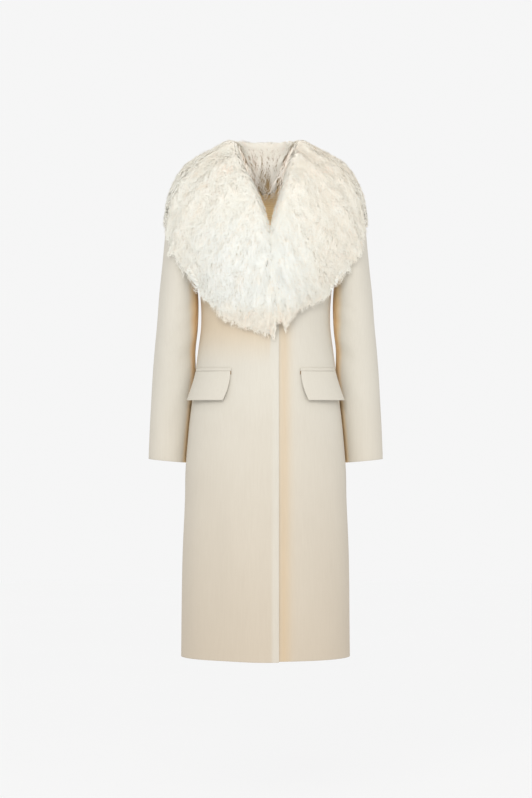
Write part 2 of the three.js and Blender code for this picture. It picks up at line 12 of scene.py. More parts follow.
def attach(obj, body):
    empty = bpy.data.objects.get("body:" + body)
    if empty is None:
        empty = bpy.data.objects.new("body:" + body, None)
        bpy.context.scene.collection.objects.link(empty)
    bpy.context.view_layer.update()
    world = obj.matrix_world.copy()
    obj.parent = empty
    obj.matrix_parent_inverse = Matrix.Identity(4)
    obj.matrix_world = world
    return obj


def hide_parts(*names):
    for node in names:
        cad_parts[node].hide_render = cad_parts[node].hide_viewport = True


bl_info = {
    "name": "Long Coat with Fur Collar",
    "version": (1, 0, 0),
    "blender": (4, 5, 0),
    "location": "View3D > Sidebar > Coat",
    "description": "Builds a cream wool long coat with a curly fur shawl collar, and its studio",
    "category": "Object",
}

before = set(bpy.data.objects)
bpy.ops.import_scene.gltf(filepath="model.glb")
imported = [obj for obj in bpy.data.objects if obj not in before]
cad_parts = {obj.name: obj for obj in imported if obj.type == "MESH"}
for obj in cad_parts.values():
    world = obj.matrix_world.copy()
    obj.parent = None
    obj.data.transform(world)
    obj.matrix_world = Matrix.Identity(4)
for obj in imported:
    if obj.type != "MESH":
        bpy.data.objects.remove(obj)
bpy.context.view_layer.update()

# ---- Sizes of the cut, in millimetres ----
MM = 0.001
SEAM = 0.36
HALF_SEAM = SEAM / 2
ARMHOLE_GAP = 0.7
HEM_Z = -1151
ARMPIT_Z = -205
NECK_HALF = 70
NECK_Z = -3
NAPE_DROP = 18
SHOULDER_HALF = 188
SHOULDER_Z = -45
RIDGE_Y = 4
FRONT_ROUND = 110
BACK_ROUND = 85
LAP = 30
LAP_RAMP = 42
LAP_RISE = 3.4
LAP_LONGER = {"drop": 2, "height": 300, "width": 120}
UPPER_ROWS = 9
AROUND = 18
FRONT_SEAM = 1
BACK_SEAM = 14

# Half width of the body and the depths of its front and back, by height.
BODY = {
    "z": [-1170, -1151, -926, -785, -715, -620, -550, -479, -432, -385,
          -350, -305, -250, -205, -180, -150, -120, -90, -45, 0],
    "half": [199, 198.5, 195.5, 189.8, 188.5, 181, 173, 164.5, 158.5, 152.5,
             151.5, 154, 160, 163.5, 170, 182, 195, 208, 225, 236],
    "front": [159, 158, 148, 140, 137, 132, 127, 121, 117, 114,
              113.5, 118, 127.5, 130.5, 127, 120, 111, 102, 91, 85],
    "back": [156.5, 156, 150, 145, 142, 137, 130, 120, 111, 104.5,
             103, 106, 113, 118, 119.5, 120, 118, 113, 102, 92],
}
# The front edge: straight up the lap, then along the roll line to the side of the neck.
ROLL = {
    "z": [-1170, -390, -300, -226, -170, -120, -60, NECK_Z],
    "x": [-LAP, -LAP, -17, -1, 12, 26, 46, NECK_HALF],
}
ARMHOLE = {
    "z": [ARMPIT_Z, -185, -160, -130, -100, -70, SHOULDER_Z],
    "front": [163.5, 157, 154, 155, 162, 174, SHOULDER_HALF],
    "back": [163.5, 163, 163, 165, 170, 179, SHOULDER_HALF],
}
# Sleeve rings from the armhole down: both ends across the arm, the y of the middle and half the depth.
SLEEVE = {
    "in_x": [166.4, 166, 165.4, 164.2, 162.2, 159.8, 158, 160, 165.5, 165, 171.8, 179.5, 186.3],
    "in_z": [-215, -225, -235, -247, -264, -290, -330, -384, -436, -496, -556, -620, -697],
    "out_x": [207, 221, 229.5, 235.5, 240, 245, 251, 256, 261.5, 266.5, 270, 273.5, 276.6],
    "out_z": [-54, -78, -112, -152, -200, -250, -306, -372, -428, -488, -548, -612, -688.5],
    "y": [7, 8, 9, 10, 12, 14, 18, 22, 28, 33, 35, 35, 33],
    "depth": [63, 66, 68, 69, 69, 68.5, 67, 64, 60, 57, 54, 51.5, 49],
}
# The line where the halves of the collar meet at the front.
MEETING = {
    "z": [-410, -362, -327, -291, -256, -200, -120, -50, -10, 80],
    "x": [32, 33, 29, 22, 16, 10, 9, 7, 0, 0],
}
# Outer form of one half of the fur, from the centre back to the lower front, and the line inside it
# that its pile stands away from. `rise` shortens the left half at the free edge.
COLLAR = {
    "neck": [(0, 58, 4), (36, 50, 6), (56, 26, 14), (62, 3, 20), (58, -22, 14), (47, -52, -10),
             (33, -84, -52), (12, -114, -108), (0, -133, -172), (0, -137, -240), (0, -134, -305),
             (0, -129, -362)],
    "crest": [(0, 74, 57), (50, 64, 58), (70, 36, 58), (80, 3, 58), (76, -30, 53), (62, -68, 18),
              (44, -112, -34), (24, -145, -100), (12, -162, -168), (11, -164, -240), (9, -155, -306),
              (5, -142, -366)],
    "upper": [(0, 108, 37), (84, 92, 39), (112, 54, 40), (124, 2, 38), (124, -50, 24),
              (106, -96, -6), (82, -137, -56), (58, -158, -132), (40, -174, -205), (30, -171, -275),
              (18, -156, -335), (8, -142, -378)],
    "middle": [(0, 132, -32), (122, 114, -26), (164, 66, 1), (186, 1, 1), (178, -62, -22),
               (152, -106, -62), (124, -136, -124), (92, -156, -206), (66, -162, -270),
               (44, -158, -320), (24, -149, -362), (10, -138, -390)],
    "lower": [(0, 152, -115), (146, 124, -104), (210, 80, -74), (225, 2, -64), (215, -66, -84),
              (196, -98, -140), (160, -114, -200), (120, -130, -275), (86, -136, -325),
              (54, -140, -358), (28, -140, -384), (11, -134, -398)],
    "edge": [(0, 136, -195), (152, 104, -194), (222, 86, -184), (238, 10, -142), (232, -42, -168),
             (222, -66, -212), (186, -76, -262), (142, -84, -320), (100, -106, -364),
             (60, -124, -388), (30, -129, -402), (12, -128, -406)],
    "core_top": [(0, 50, -60), (40, 42, -60), (74, 22, -60), (86, 4, -80), (78, -8, -80),
                 (66, -20, -100), (50, -30, -120), (36, -40, -150), (20, -40, -190), (12, -40, -240),
                 (6, -30, -305), (4, -20, -362)],
    "core_low": [(0, 60, -200), (120, 20, -190), (170, 12, -180), (180, 6, -180), (180, 0, -190),
                 (180, 0, -220), (150, 0, -260), (80, 0, -310), (50, 0, -360), (30, 0, -385),
                 (16, 0, -400), (8, 0, -405)],
    "rise": [0, 0, 0, 0, 0, 0, 0, 6, 32, 48, 38, 10],
}
PROFILE = ["neck", "crest", "upper", "middle", "lower", "edge"]
# How far locks fill the valley where the halves meet, by station, and how much they raise the crest
# at the back.
VALLEY_FILL = [0, 0, 0, 0, 0, 0, 0, 0.2, 0.75, 1, 1, 1]
BACK_CREST_RISE = 5
LOCK_RELIEF = 3.5
BIG_LOCKS = 11
LOCK_TAPER = 0.3
SHIFT_NEAR = 20
SHIFT_FAR = 110
STAND = {
    "top": 46, "low": -68, "end_rise": 0.65, "half_width": 54, "middle": 12, "depth": 40,
    "flare": 13, "flare_height": 46, "wall": 9, "spread": 82, "waves": 9, "wave": 5,
}
FACING = {"half": 57, "depth": 124, "below_edge": 3, "clear": 1.8, "wall": 1.6, "dip": 30}
FLAP = {
    "top": -484, "height": 65.5, "inner": 81.5, "slant": 14, "late": 2, "end_angle": 13.5,
    "wall": 3, "clear": 0.9, "stand": 13, "inner_stand": 0.62,
}
WELT = {"height": 6, "gap": 1.5, "wall": 2.2, "clear": 0.6, "longer": 1}


# ---- Curves ----
def mix(a, b, share):
    return a + (b - a) * share


def smooth(value):
    share = np.clip(value, 0, 1)
    return share * share * (3 - 2 * share)


def column(table, name):
    """Smooth curve through a column of a table, read at a value of its z column."""
    order = np.argsort(table["z"])
    z = np.array(table["z"], float)[order]
    y = np.array(table[name], float)[order]
    slope = np.empty_like(y)
    slope[1:-1] = (y[2:] - y[:-2]) / (z[2:] - z[:-2])
    slope[0] = (y[1] - y[0]) / (z[1] - z[0])
    slope[-1] = (y[-1] - y[-2]) / (z[-1] - z[-2])

    def read(value):
        at = np.clip(value, z[0], z[-1])
        i = np.clip(np.searchsorted(z, at) - 1, 0, len(z) - 2)
        span = z[i + 1] - z[i]
        t = (at - z[i]) / span
        rise = (y[i + 1] - y[i]) / span
        whole = np.where(rise == 0, 1.0, rise)

        def limit(s):
            ratio = s / whole
            return np.where((rise == 0) | (ratio <= 0), 0.0, rise * np.minimum(ratio, 3))

        bend = (1 - t) * (limit(slope[i]) - rise) - t * (limit(slope[i + 1]) - rise)
        return mix(y[i], y[i + 1], t) + t * (1 - t) * span * bend

    return read


def spline(points, t):
    """Points of a centripetal curve through the given ones, at shares t of its length in steps."""
    points = np.asarray(points, float)
    place = np.clip(np.asarray(t, float), 0, 1) * (len(points) - 1)
    i = np.clip(np.floor(place).astype(int), 0, len(points) - 2)
    w = (place - i)[:, None]
    ends = np.vstack([2 * points[0] - points[1], points, 2 * points[-1] - points[-2]])
    p0, p1, p2, p3 = ends[i], ends[i + 1], ends[i + 2], ends[i + 3]

    def step(a, b):
        return np.sqrt(np.linalg.norm(b - a, axis=1))[:, None]

    d1 = np.maximum(step(p1, p2), 1e-4)
    d0 = np.where(step(p0, p1) < 1e-4, d1, step(p0, p1))
    d2 = np.where(step(p2, p3) < 1e-4, d1, step(p2, p3))
    t1 = ((p1 - p0) / d0 - (p2 - p0) / (d0 + d1) + (p2 - p1) / d1) * d1
    t2 = ((p2 - p1) / d1 - (p3 - p1) / (d1 + d2) + (p3 - p2) / d2) * d1
    cubic = (2 * p1 - 2 * p2 + t1 + t2) * w**3
    return cubic + (-3 * p1 + 3 * p2 - 2 * t1 - t2) * w**2 + t1 * w + p1


half_width = column(BODY, "half")
depth_of = {"front": column(BODY, "front"), "back": column(BODY, "back")}
roll_x = column(ROLL, "x")
meeting_x = column(MEETING, "x")
armhole_x = {"front": column(ARMHOLE, "front"), "back": column(ARMHOLE, "back")}
CENTRE_TOP = NECK_Z - NAPE_DROP
LOW_ROWS = np.array([
    HEM_Z, -1040, -926, -850, -785, -715, -650, -600, -550, -515,
    -479, -445, -412, -380, -350, -320, -290, -260, -232, ARMPIT_Z,
], float)
LOW_COUNT = len(LOW_ROWS) - 1


# ---- Surfaces of the cloth ----
def ridge_z(x):
    slope = (SHOULDER_Z - NECK_Z) / (SHOULDER_HALF - NECK_HALF)
    return NECK_Z + np.maximum(0, np.abs(x) - NECK_HALF) * slope


def neck_edge_z(x):
    inside = NECK_Z - NAPE_DROP * (1 - (x / NECK_HALF) ** 2)
    return np.where(np.abs(x) < NECK_HALF, inside, ridge_z(x))


def body_y(x, z, face):
    """The y of the body's outer surface at a place seen from the front."""
    across = np.sqrt(np.clip(1 - (x / half_width(z)) ** 2, 0, 1))
    height = FRONT_ROUND if face == "front" else BACK_ROUND
    rounded = 1 - np.clip((ridge_z(x) - z) / height, 0, 1)
    over = np.sqrt(1 - rounded**2)
    if face == "front":
        return RIDGE_Y - (depth_of["front"](z) + RIDGE_Y) * across * over
    return RIDGE_Y + (depth_of["back"](z) - RIDGE_Y) * across * over


def panel_row(v):
    low = np.interp(v, np.arange(LOW_COUNT + 1), LOW_ROWS)
    upper = (1 - np.cos(np.clip((v - LOW_COUNT) / UPPER_ROWS, 0, 1) * np.pi)) / 2
    return upper, np.where(v <= LOW_COUNT, low, mix(ARMPIT_Z, SHOULDER_Z, upper))


def arm_angle(face, upper, arm_z):
    seam = HALF_SEAM / (half_width(arm_z) * 0.75)
    hole = np.arccos(np.clip(armhole_x[face](arm_z) / half_width(arm_z), -1, 1))
    return np.where(upper > 0, np.maximum(hole, seam), seam)


def front_point(u, v, is_over):
    """Points of a front panel: u from its front edge to the side, v from the hem to the shoulder."""
    upper, arm_z = panel_row(v)
    edge_z = np.where(upper > 0, mix(ARMPIT_Z, NECK_Z, upper), arm_z)
    edge_angle = np.arccos(roll_x(edge_z) / half_width(edge_z))
    z = mix(edge_z, arm_z, u)
    x = half_width(z) * np.cos(mix(edge_angle, arm_angle("front", upper, arm_z), u))
    y = body_y(x, z, "front")
    if is_over:
        y = y - LAP_RISE * (1 - smooth((x - LAP) / LAP_RAMP))
        near = 1 - smooth(x / LAP_LONGER["width"])
        z = z - LAP_LONGER["drop"] * (1 - smooth((z - HEM_Z) / LAP_LONGER["height"])) * near
    return np.stack([x, np.minimum(y, RIDGE_Y - HALF_SEAM), z], -1)


def back_point(u, v):
    """Points of one half of the back: u from the centre back to the side."""
    upper, arm_z = panel_row(v)
    centre_z = np.where(upper > 0, mix(ARMPIT_Z, CENTRE_TOP, upper), arm_z)
    centre_angle = np.pi / 2 - HALF_SEAM / half_width(centre_z)
    angle = mix(centre_angle, arm_angle("back", upper, arm_z), u)
    straight = mix(centre_z, arm_z, u)
    x = half_width(straight) * np.cos(angle)
    top_z = mix(CENTRE_TOP, SHOULDER_Z, u)
    crown = neck_edge_z(half_width(top_z) * np.cos(angle)) - top_z
    z = straight + crown * upper**3
    y = np.maximum(body_y(x, z, "back"), RIDGE_Y + HALF_SEAM)
    return np.stack([np.maximum(x, HALF_SEAM), y, z], -1)


def sleeve_ring(place, k):
    last = len(SLEEVE["y"]) - 1
    i = np.clip(np.floor(k).astype(int), 0, last - 1)
    share = k - i

    def value(name):
        rows = np.array(SLEEVE[name], float)
        a, b = rows[np.maximum(i - 1, 0)], rows[i]
        c, d = rows[i + 1], rows[np.minimum(i + 2, last)]
        bend = 2 * a - 5 * b + 4 * c - d + share * (3 * (b - c) + d - a)
        return b + 0.5 * share * (c - a + share * bend)

    angle = np.pi * (1 - place * 2 / AROUND)
    reach = (1 + np.cos(angle)) / 2
    x = mix(value("in_x"), value("out_x"), reach)
    z = mix(value("in_z"), value("out_z"), reach)
    return np.stack([x, value("y") - value("depth") * np.sin(angle), z], -1)


def sleeve_point(i, k):
    """Points of a sleeve: i round from the armpit up the front and down the back, k down the arm."""
    place = np.mod(i, AROUND)
    climb = LOW_COUNT + np.minimum(place, AROUND - place)
    side = np.ones_like(place)
    front = front_point(side, climb, False)
    back = back_point(side, climb)
    seam = np.where((place <= AROUND / 2)[..., None], front, back)
    seam = seam + np.array([ARMHOLE_GAP, 0, 0])
    first = sleeve_ring(place, np.zeros_like(k))
    head = mix(seam, first, np.clip(k, 0, 1)[..., None])
    return np.where((k < 1)[..., None], head, sleeve_ring(place, np.maximum(k - 1, 0)))


def front_skin(angle, z, lift):
    """A point on the front, given across by the angle round the body, moved out by a lift."""

    def at(place):
        x = half_width(z) * np.cos(place)
        return np.stack([x, body_y(x, z, "front")], -1)

    point = at(angle)
    along = at(angle - 0.01) - point
    along = along / np.linalg.norm(along, axis=-1, keepdims=True)
    x = point[..., 0] + along[..., 1] * lift
    return np.stack([x, point[..., 1] - along[..., 0] * lift, z + 0 * x], -1)


def flap_point(u, v):
    down = 1 - v
    z = FLAP["top"] - FLAP["height"] * down
    inner = np.arccos((FLAP["inner"] + FLAP["slant"] * down ** FLAP["late"]) / half_width(z))
    angle = mix(inner, math.radians(FLAP["end_angle"]), u)
    stand = FLAP["stand"] * down**1.3 * mix(FLAP["inner_stand"], 1, u)
    swell = 1.4 * np.sin(np.pi * u) * np.sin(np.pi * down**0.8)
    return front_skin(angle, z, FLAP["wall"] + FLAP["clear"] + stand + swell)


def welt_point(u, v):
    z = FLAP["top"] + WELT["gap"] + WELT["height"] * v
    inner = np.arccos((FLAP["inner"] - WELT["longer"]) / half_width(z))
    angle = mix(inner, math.radians(FLAP["end_angle"]), u)
    roll = 0.5 * np.sin(np.pi * v)
    return front_skin(angle, z, WELT["wall"] + WELT["clear"] + roll)


def facing_point(u, v):
    x = mix(-FACING["half"], FACING["half"], u)
    top = neck_edge_z(x) - FACING["below_edge"]
    low = top - FACING["depth"] + FACING["dip"] * (x / FACING["half"]) ** 2
    z = mix(low, top, v)
    inward = 2.2 + FACING["clear"]
    y, below = body_y(x, z, "back"), body_y(x, z - 1, "back")
    lean = np.hypot(1, below - y)
    return np.stack([x, y - inward / lean - SEAM, z - inward * (below - y) / lean], -1)


def stand_point(u, v):
    angle = np.radians(mix(-STAND["spread"], STAND["spread"], u))
    drop = STAND["wave"] * np.cos(u * STAND["waves"] * 2 * np.pi) * (1 - v)
    low = STAND["low"] * (1 - STAND["end_rise"] * np.sin(angle) ** 2)
    z = mix(low, STAND["top"], v) - drop
    flare = STAND["flare"] * smooth(z / STAND["flare_height"])
    x = (STAND["half_width"] + flare) * np.sin(angle)
    return np.stack([x, STAND["middle"] + (STAND["depth"] + flare) * np.cos(angle), z], -1)


# ---- Soft creases ----
# Places seen from the front for the panels, and (way round from the armpit, z) for the sleeves.
# A negative height is a trough. The ends fade out.
FRONT_CREASES = [
    {"start": (112, -404), "end": (106, -448), "width": 5, "height": -0.9},
    {"start": (66, -352), "end": (60, -476), "width": 26, "height": 1.1},
    {"start": (150, -330), "end": (112, -352), "width": 9, "height": -1.0},
    {"start": (152, -366), "end": (100, -378), "width": 10, "height": -0.9},
    {"start": (60, -560), "end": (84, -1100), "width": 30, "height": 1.3},
    {"start": (110, -700), "end": (122, -1140), "width": 22, "height": -1.4},
    {"start": (150, -620), "end": (168, -1130), "width": 18, "height": 1.4},
    {"start": (22, -760), "end": (36, -1130), "width": 24, "height": -1.1},
]
BACK_CREASES = [
    {"start": (70, -260), "end": (62, -420), "width": 6, "height": -1.0},
    {"start": (140, -345), "end": (60, -372), "width": 11, "height": -1.3},
    {"start": (110, -388), "end": (24, -402), "width": 10, "height": 1.2},
    {"start": (52, -620), "end": (60, -1140), "width": 26, "height": 1.8},
    {"start": (104, -560), "end": (120, -1140), "width": 24, "height": -1.8},
    {"start": (148, -680), "end": (166, -1120), "width": 20, "height": 1.6},
]
SLEEVE_CREASES = [
    {"start": (22, -318), "end": (94, -352), "width": 10, "height": -1.7},
    {"start": (11, -356), "end": (83, -392), "width": 11, "height": -1.9},
    {"start": (7, -392), "end": (97, -436), "width": 12, "height": 1.6},
    {"start": (18, -430), "end": (76, -462), "width": 12, "height": -1.5},
    {"start": (112, -300), "end": (122, -520), "width": 20, "height": 1.3},
    {"start": (61, -520), "end": (79, -668), "width": 20, "height": -1.2},
    {"start": (198, -330), "end": (277, -360), "width": 11, "height": -1.6},
    {"start": (191, -396), "end": (288, -412), "width": 12, "height": 1.4},
    {"start": (223, -520), "end": (216, -660), "width": 20, "height": -1.2},
]


# Pressed lines and seams, as grooves. `at` is the distance from the edge that the line follows.
EDGE_LINES = [{"at": 6, "width": 1.2, "depth": 0.3}, {"at": 15, "width": 1.6, "depth": 0.4}]
HEM_LINE = {"at": 38, "width": 2.5, "depth": 0.25}
SIDE_SEAM = {"at": 0, "width": 3.0, "depth": 0.9}
CENTRE_SEAM = {"at": 0, "width": 3.0, "depth": 1.0}
SLEEVE_SEAM = {"at": 0, "width": 3.0, "depth": 0.8}
CUFF_LINE = {"at": -0.12, "width": 0.03, "depth": 0.35}
PANEL_ACROSS = 230  # from the front edge or the centre back round to the side seam
SLEEVE_ACROSS = 18  # width of one of the parts that a sleeve's rings are divided in


def crease_height(across, z, creases, seed):
    """Height of all creases at places (across, z), each as uneven along its length as cloth is."""
    rng = np.random.default_rng(seed)
    total = np.zeros_like(z)
    for crease in creases:
        (x0, z0), (x1, z1) = crease["start"], crease["end"]
        dx, dz = x1 - x0, z1 - z0
        length2 = dx * dx + dz * dz
        t = ((across - x0) * dx + (z - z0) * dz) / length2
        bow = math.sqrt(length2) * 0.05 * rng.uniform(-1, 1)
        off = ((across - x0) * dz - (z - z0) * dx) / math.sqrt(length2)
        off = off - bow * np.sin(np.pi * np.clip(t, 0, 1))
        fade = smooth(t / 0.35 + 0.15) * smooth((1 - t) / 0.35 + 0.15)
        uneven = 1 + 0.25 * np.sin(t * rng.uniform(5, 9) + rng.uniform(0, 6))
        total += crease["height"] * uneven * fade * np.exp(-((off / crease["width"]) ** 2))
    return total


# Shallow waves across a panel that grow from a height down to the hem.
FRONT_RIPPLE = {"from": -640, "height": 0.5, "length": 21, "shift": 1.3}
BACK_RIPPLE = {"from": -600, "height": 0.9, "length": 19, "shift": 0.7}
RIPPLE_GROWTH = 480
# Height above which the cloth has no creases, and how far down they take to begin.
CREASE_TOP = {"front": -150, "back": -130, "sleeve": -250}
CREASE_START = 60


def hem_ripple(x, z, ripple, side):
    low = smooth((ripple["from"] - z) / RIPPLE_GROWTH)
    return ripple["height"] * low * np.sin(x / ripple["length"] + ripple["shift"] * side)


def below_top(z, part):
    return smooth((CREASE_TOP[part] - z) / CREASE_START)


def groove(distance, line):
    """Height of a pressed line or a seam at places this far from the edge that it follows."""
    return -line["depth"] * np.exp(-(((distance - line["at"]) / line["width"]) ** 2))


# ---- Meshes ----
def grid_normals(points, facing):
    along = np.gradient(points, axis=0)
    up = np.gradient(points, axis=1)
    normal = np.cross(along, up) * facing
    return normal / np.maximum(np.linalg.norm(normal, axis=-1, keepdims=True), 1e-9)


def make_object(name, points, quads, material, triangles=(), attributes=None, uv=None):
    """A smooth mesh object from arrays of points in millimetres, on the coat's body."""
    mesh = bpy.data.meshes.new(name)
    quads = np.asarray(quads, np.int32).reshape(-1, 4)
    triangles = np.asarray(triangles, np.int32).reshape(-1, 3)
    corners = np.concatenate([quads.ravel(), triangles.ravel()])
    starts = np.concatenate([
        np.arange(len(quads)) * 4, len(quads) * 4 + np.arange(len(triangles)) * 3
    ])
    mesh.vertices.add(len(points))
    mesh.vertices.foreach_set("co", (np.asarray(points) * MM).astype(np.float32).ravel())
    mesh.loops.add(len(corners))
    mesh.loops.foreach_set("vertex_index", corners)
    mesh.polygons.add(len(starts))
    mesh.polygons.foreach_set("loop_start", starts.astype(np.int32))
    mesh.update(calc_edges=True)
    mesh.polygons.foreach_set("use_smooth", np.ones(len(starts), bool))
    for key, values in (attributes or {}).items():
        layer = mesh.attributes.new(key, "FLOAT", "POINT")
        layer.data.foreach_set("value", np.asarray(values, np.float32))
    if uv is not None:
        layer = mesh.uv_layers.new(name="OFBake")
        layer.uv.foreach_set("vector", uv[corners].astype(np.float32).ravel())
    mesh.materials.append(material)
    piece = bpy.data.objects.new(name, mesh)
    bpy.context.scene.collection.objects.link(piece)
    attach(piece, "root")
    return piece


RIM_ANGLES = [math.pi / 4, math.pi / 2, 3 * math.pi / 4]


def make_shell(name, points, normals, thickness, material, side=1, attributes=None):
    """A closed cloth wall with rounded edges, from a grid of outer points and its normals."""
    rows, cols = points.shape[:2]
    thick = np.broadcast_to(thickness, (rows, cols))[..., None]
    inner = points - normals * thick
    middle = (points + inner) / 2

    def rim(index, axis):
        out = np.take(points, index, axis) - np.take(points, -2 if index else 1, axis)
        out = out / np.linalg.norm(out, axis=-1, keepdims=True)
        half = np.take(thick, index, axis) / 2
        up = np.take(normals, index, axis)
        centre = np.take(middle, index, axis)
        return [centre + half * (up * math.cos(a) + out * math.sin(a) * 0.8) for a in RIM_ANGLES]

    parts = [points.reshape(-1, 3), inner.reshape(-1, 3)]
    outer_id = np.arange(rows * cols).reshape(rows, cols)
    inner_id = outer_id + rows * cols
    count = rows * cols * 2
    rims = {}
    for key, index, axis in [("u0", 0, 0), ("u1", -1, 0), ("v0", 0, 1), ("v1", -1, 1)]:
        loops = rim(index, axis)
        ids = []
        for loop in loops:
            parts.append(loop)
            ids.append(np.arange(len(loop)) + count)
            count += len(loop)
        rims[key] = ids
    quads = []

    def strip(a, b):
        quads.append(np.stack([a[:-1], a[1:], b[1:], b[:-1]], -1))

    for ids in (outer_id, inner_id):
        for i in range(rows - 1):
            strip(ids[i], ids[i + 1])
    ends = {
        "u0": (outer_id[0], inner_id[0]), "u1": (outer_id[-1], inner_id[-1]),
        "v0": (outer_id[:, 0], inner_id[:, 0]), "v1": (outer_id[:, -1], inner_id[:, -1]),
    }
    for key, (a, b) in ends.items():
        chain = [a, *rims[key], b]
        for one, two in zip(chain, chain[1:]):
            strip(one, two)
    triangles = []
    for u_key, u_at in (("u0", 0), ("u1", -1)):
        for v_key, v_at in (("v0", 0), ("v1", -1)):
            one = [r[v_at] for r in rims[u_key]]
            two = [r[u_at] for r in rims[v_key]]
            triangles.append([outer_id[u_at, v_at], one[0], two[0]])
            triangles.append([inner_id[u_at, v_at], two[-1], one[-1]])
            for k in range(2):
                quads.append(np.array([[one[k], one[k + 1], two[k + 1], two[k]]]))
    everything = np.concatenate([p.reshape(-1, 3) for p in parts])
    everything = everything * np.array([side, 1, 1])
    piece = make_object(name, everything, np.concatenate(quads), material, triangles)
    turn_faces_out(piece.data)
    for key, values in (attributes or {}).items():
        border = {"u0": values[0], "u1": values[-1], "v0": values[:, 0], "v1": values[:, -1]}
        over_rims = [border[edge] for edge in rims for _ in RIM_ANGLES]
        full = np.concatenate([values.ravel(), values.ravel(), *over_rims])
        layer = piece.data.attributes.new(key, "FLOAT", "POINT")
        layer.data.foreach_set("value", full.astype(np.float32))
    return piece


def turn_faces_out(mesh):
    work = bmesh.new()
    work.from_mesh(mesh)
    bmesh.ops.recalc_face_normals(work, faces=work.faces)
    if work.calc_volume(signed=True) < 0:
        bmesh.ops.reverse_faces(work, faces=work.faces)
    work.to_mesh(mesh)
    work.free()


def dense_ends(count, share=0.45):
    """Shares from 0 to 1 that lie closer together near both ends."""
    t = np.linspace(0, 1, count)
    return mix(t, (1 - np.cos(np.pi * t)) / 2, share)


# How finely the cloth is divided: rows of a panel below and above the armpit, its columns, the steps
# down a sleeve between its rings, and the columns of its two halves.
PANEL_ROWS = {"low": 110, "upper": 25}
HEM_ROWS = [0.0, 0.02, 0.045]
PANEL_COLUMNS = {"front": 36, "back": 32}
SLEEVE_STEPS = [7, 2, 2, 3, 3, 4, 6, 6, 7, 7, 7, 8, 9]
SLEEVE_COLUMNS = {"top": 46, "under": 18}
POCKET_EDGES = 0.7  # how much the columns of flaps and welts crowd to their edges


def panel_grid(face):
    """Places (u, v) over a panel, u across and v up, with rows close together at the hem."""
    z = np.linspace(HEM_Z, ARMPIT_Z, PANEL_ROWS["low"])
    low = np.interp(z[1:], LOW_ROWS, np.arange(LOW_COUNT + 1))
    upper = LOW_COUNT + np.linspace(0, UPPER_ROWS, PANEL_ROWS["upper"])[1:]
    return np.meshgrid(
        dense_ends(PANEL_COLUMNS[face]), np.concatenate([HEM_ROWS, low, upper]), indexing="ij"
    )


# ---- Finishes ----
class Shade:
    """One value in a shader, with the arithmetic that the finishes use."""

    def __init__(self, finish, socket):
        self.finish = finish
        self.socket = socket

    def _math(self, operation, *values):
        settings = {"operation": operation}
        return self.finish.add("ShaderNodeMath", settings, dict(enumerate(values)))

    def __add__(self, other):
        return self._math("ADD", self, other)

    __radd__ = __add__

    def __mul__(self, other):
        return self._math("MULTIPLY", self, other)

    __rmul__ = __mul__


class Finish:
    """A material in the making."""

    def __init__(self, name):
        self.material = bpy.data.materials.new(name)
        self.material.use_nodes = True
        self.tree = self.material.node_tree
        self.tree.nodes.clear()

    def add(self, kind, settings=None, values=None, output=0):
        """Adds a node: its settings first, then the values or links of its sockets."""
        node = self.tree.nodes.new(kind)
        for key, value in (settings or {}).items():
            if key == "stops":
                ramp = node.color_ramp.elements
                while len(ramp) < len(value):
                    ramp.new(0.5)
                for element, (place, colour) in zip(ramp, value):
                    element.position = place
                    element.color = colour
            else:
                setattr(node, key, value)
        for key, value in (values or {}).items():
            socket = node.inputs[key]
            if isinstance(value, Shade):
                self.tree.links.new(value.socket, socket)
            else:
                socket.default_value = value
        return Shade(self, node.outputs[output]) if len(node.outputs) else node

    def noise(self, scale, detail, vector, roughness=0.5):
        values = {"Scale": scale, "Detail": detail, "Roughness": roughness, "Vector": vector}
        return self.add("ShaderNodeTexNoise", None, values, "Fac")

    def place(self):
        return self.add("ShaderNodeTexCoord", None, None, "Object")

    def stretched(self, scale):
        settings = {"vector_type": "POINT"}
        values = {"Vector": self.place(), "Scale": scale}
        return self.add("ShaderNodeMapping", settings, values)

    def attribute(self, name):
        return self.add("ShaderNodeAttribute", {"attribute_name": name}, None, "Fac")

    def mix_colour(self, share, first, second):
        settings = {"data_type": "RGBA", "blend_type": "MIX", "clamp_factor": True}
        return self.add("ShaderNodeMix", settings, {0: share, 6: first, 7: second}, 2)

    def ranged(self, value, low, high, to_low=0.0, to_high=1.0):
        values = {0: value, 1: low, 2: high, 3: to_low, 4: to_high}
        return self.add("ShaderNodeMapRange", None, values)

    def surface(self, **sockets):
        """Ends the material with its shader."""
        named = {key.replace("_", " "): value for key, value in sockets.items()}
        shader = self.add("ShaderNodeBsdfPrincipled", None, named)
        self.add("ShaderNodeOutputMaterial", None, {"Surface": shader})
        return self.material


def with_alpha(colour):
    return (*colour, 1.0)


# Painted shade: the wool turns darker and warmer from the top height down to the low one, as the light
# falls off towards the hem.
HEM_SHADE = {"low": -1.13, "top": -0.52}  # heights in metres between which the wool turns warmer
# Heights in metres over which the neck pile turns from its painted shadow colour low down to its own
# colour above.
NECK_SHADE = {"low": -0.03, "top": 0.055}


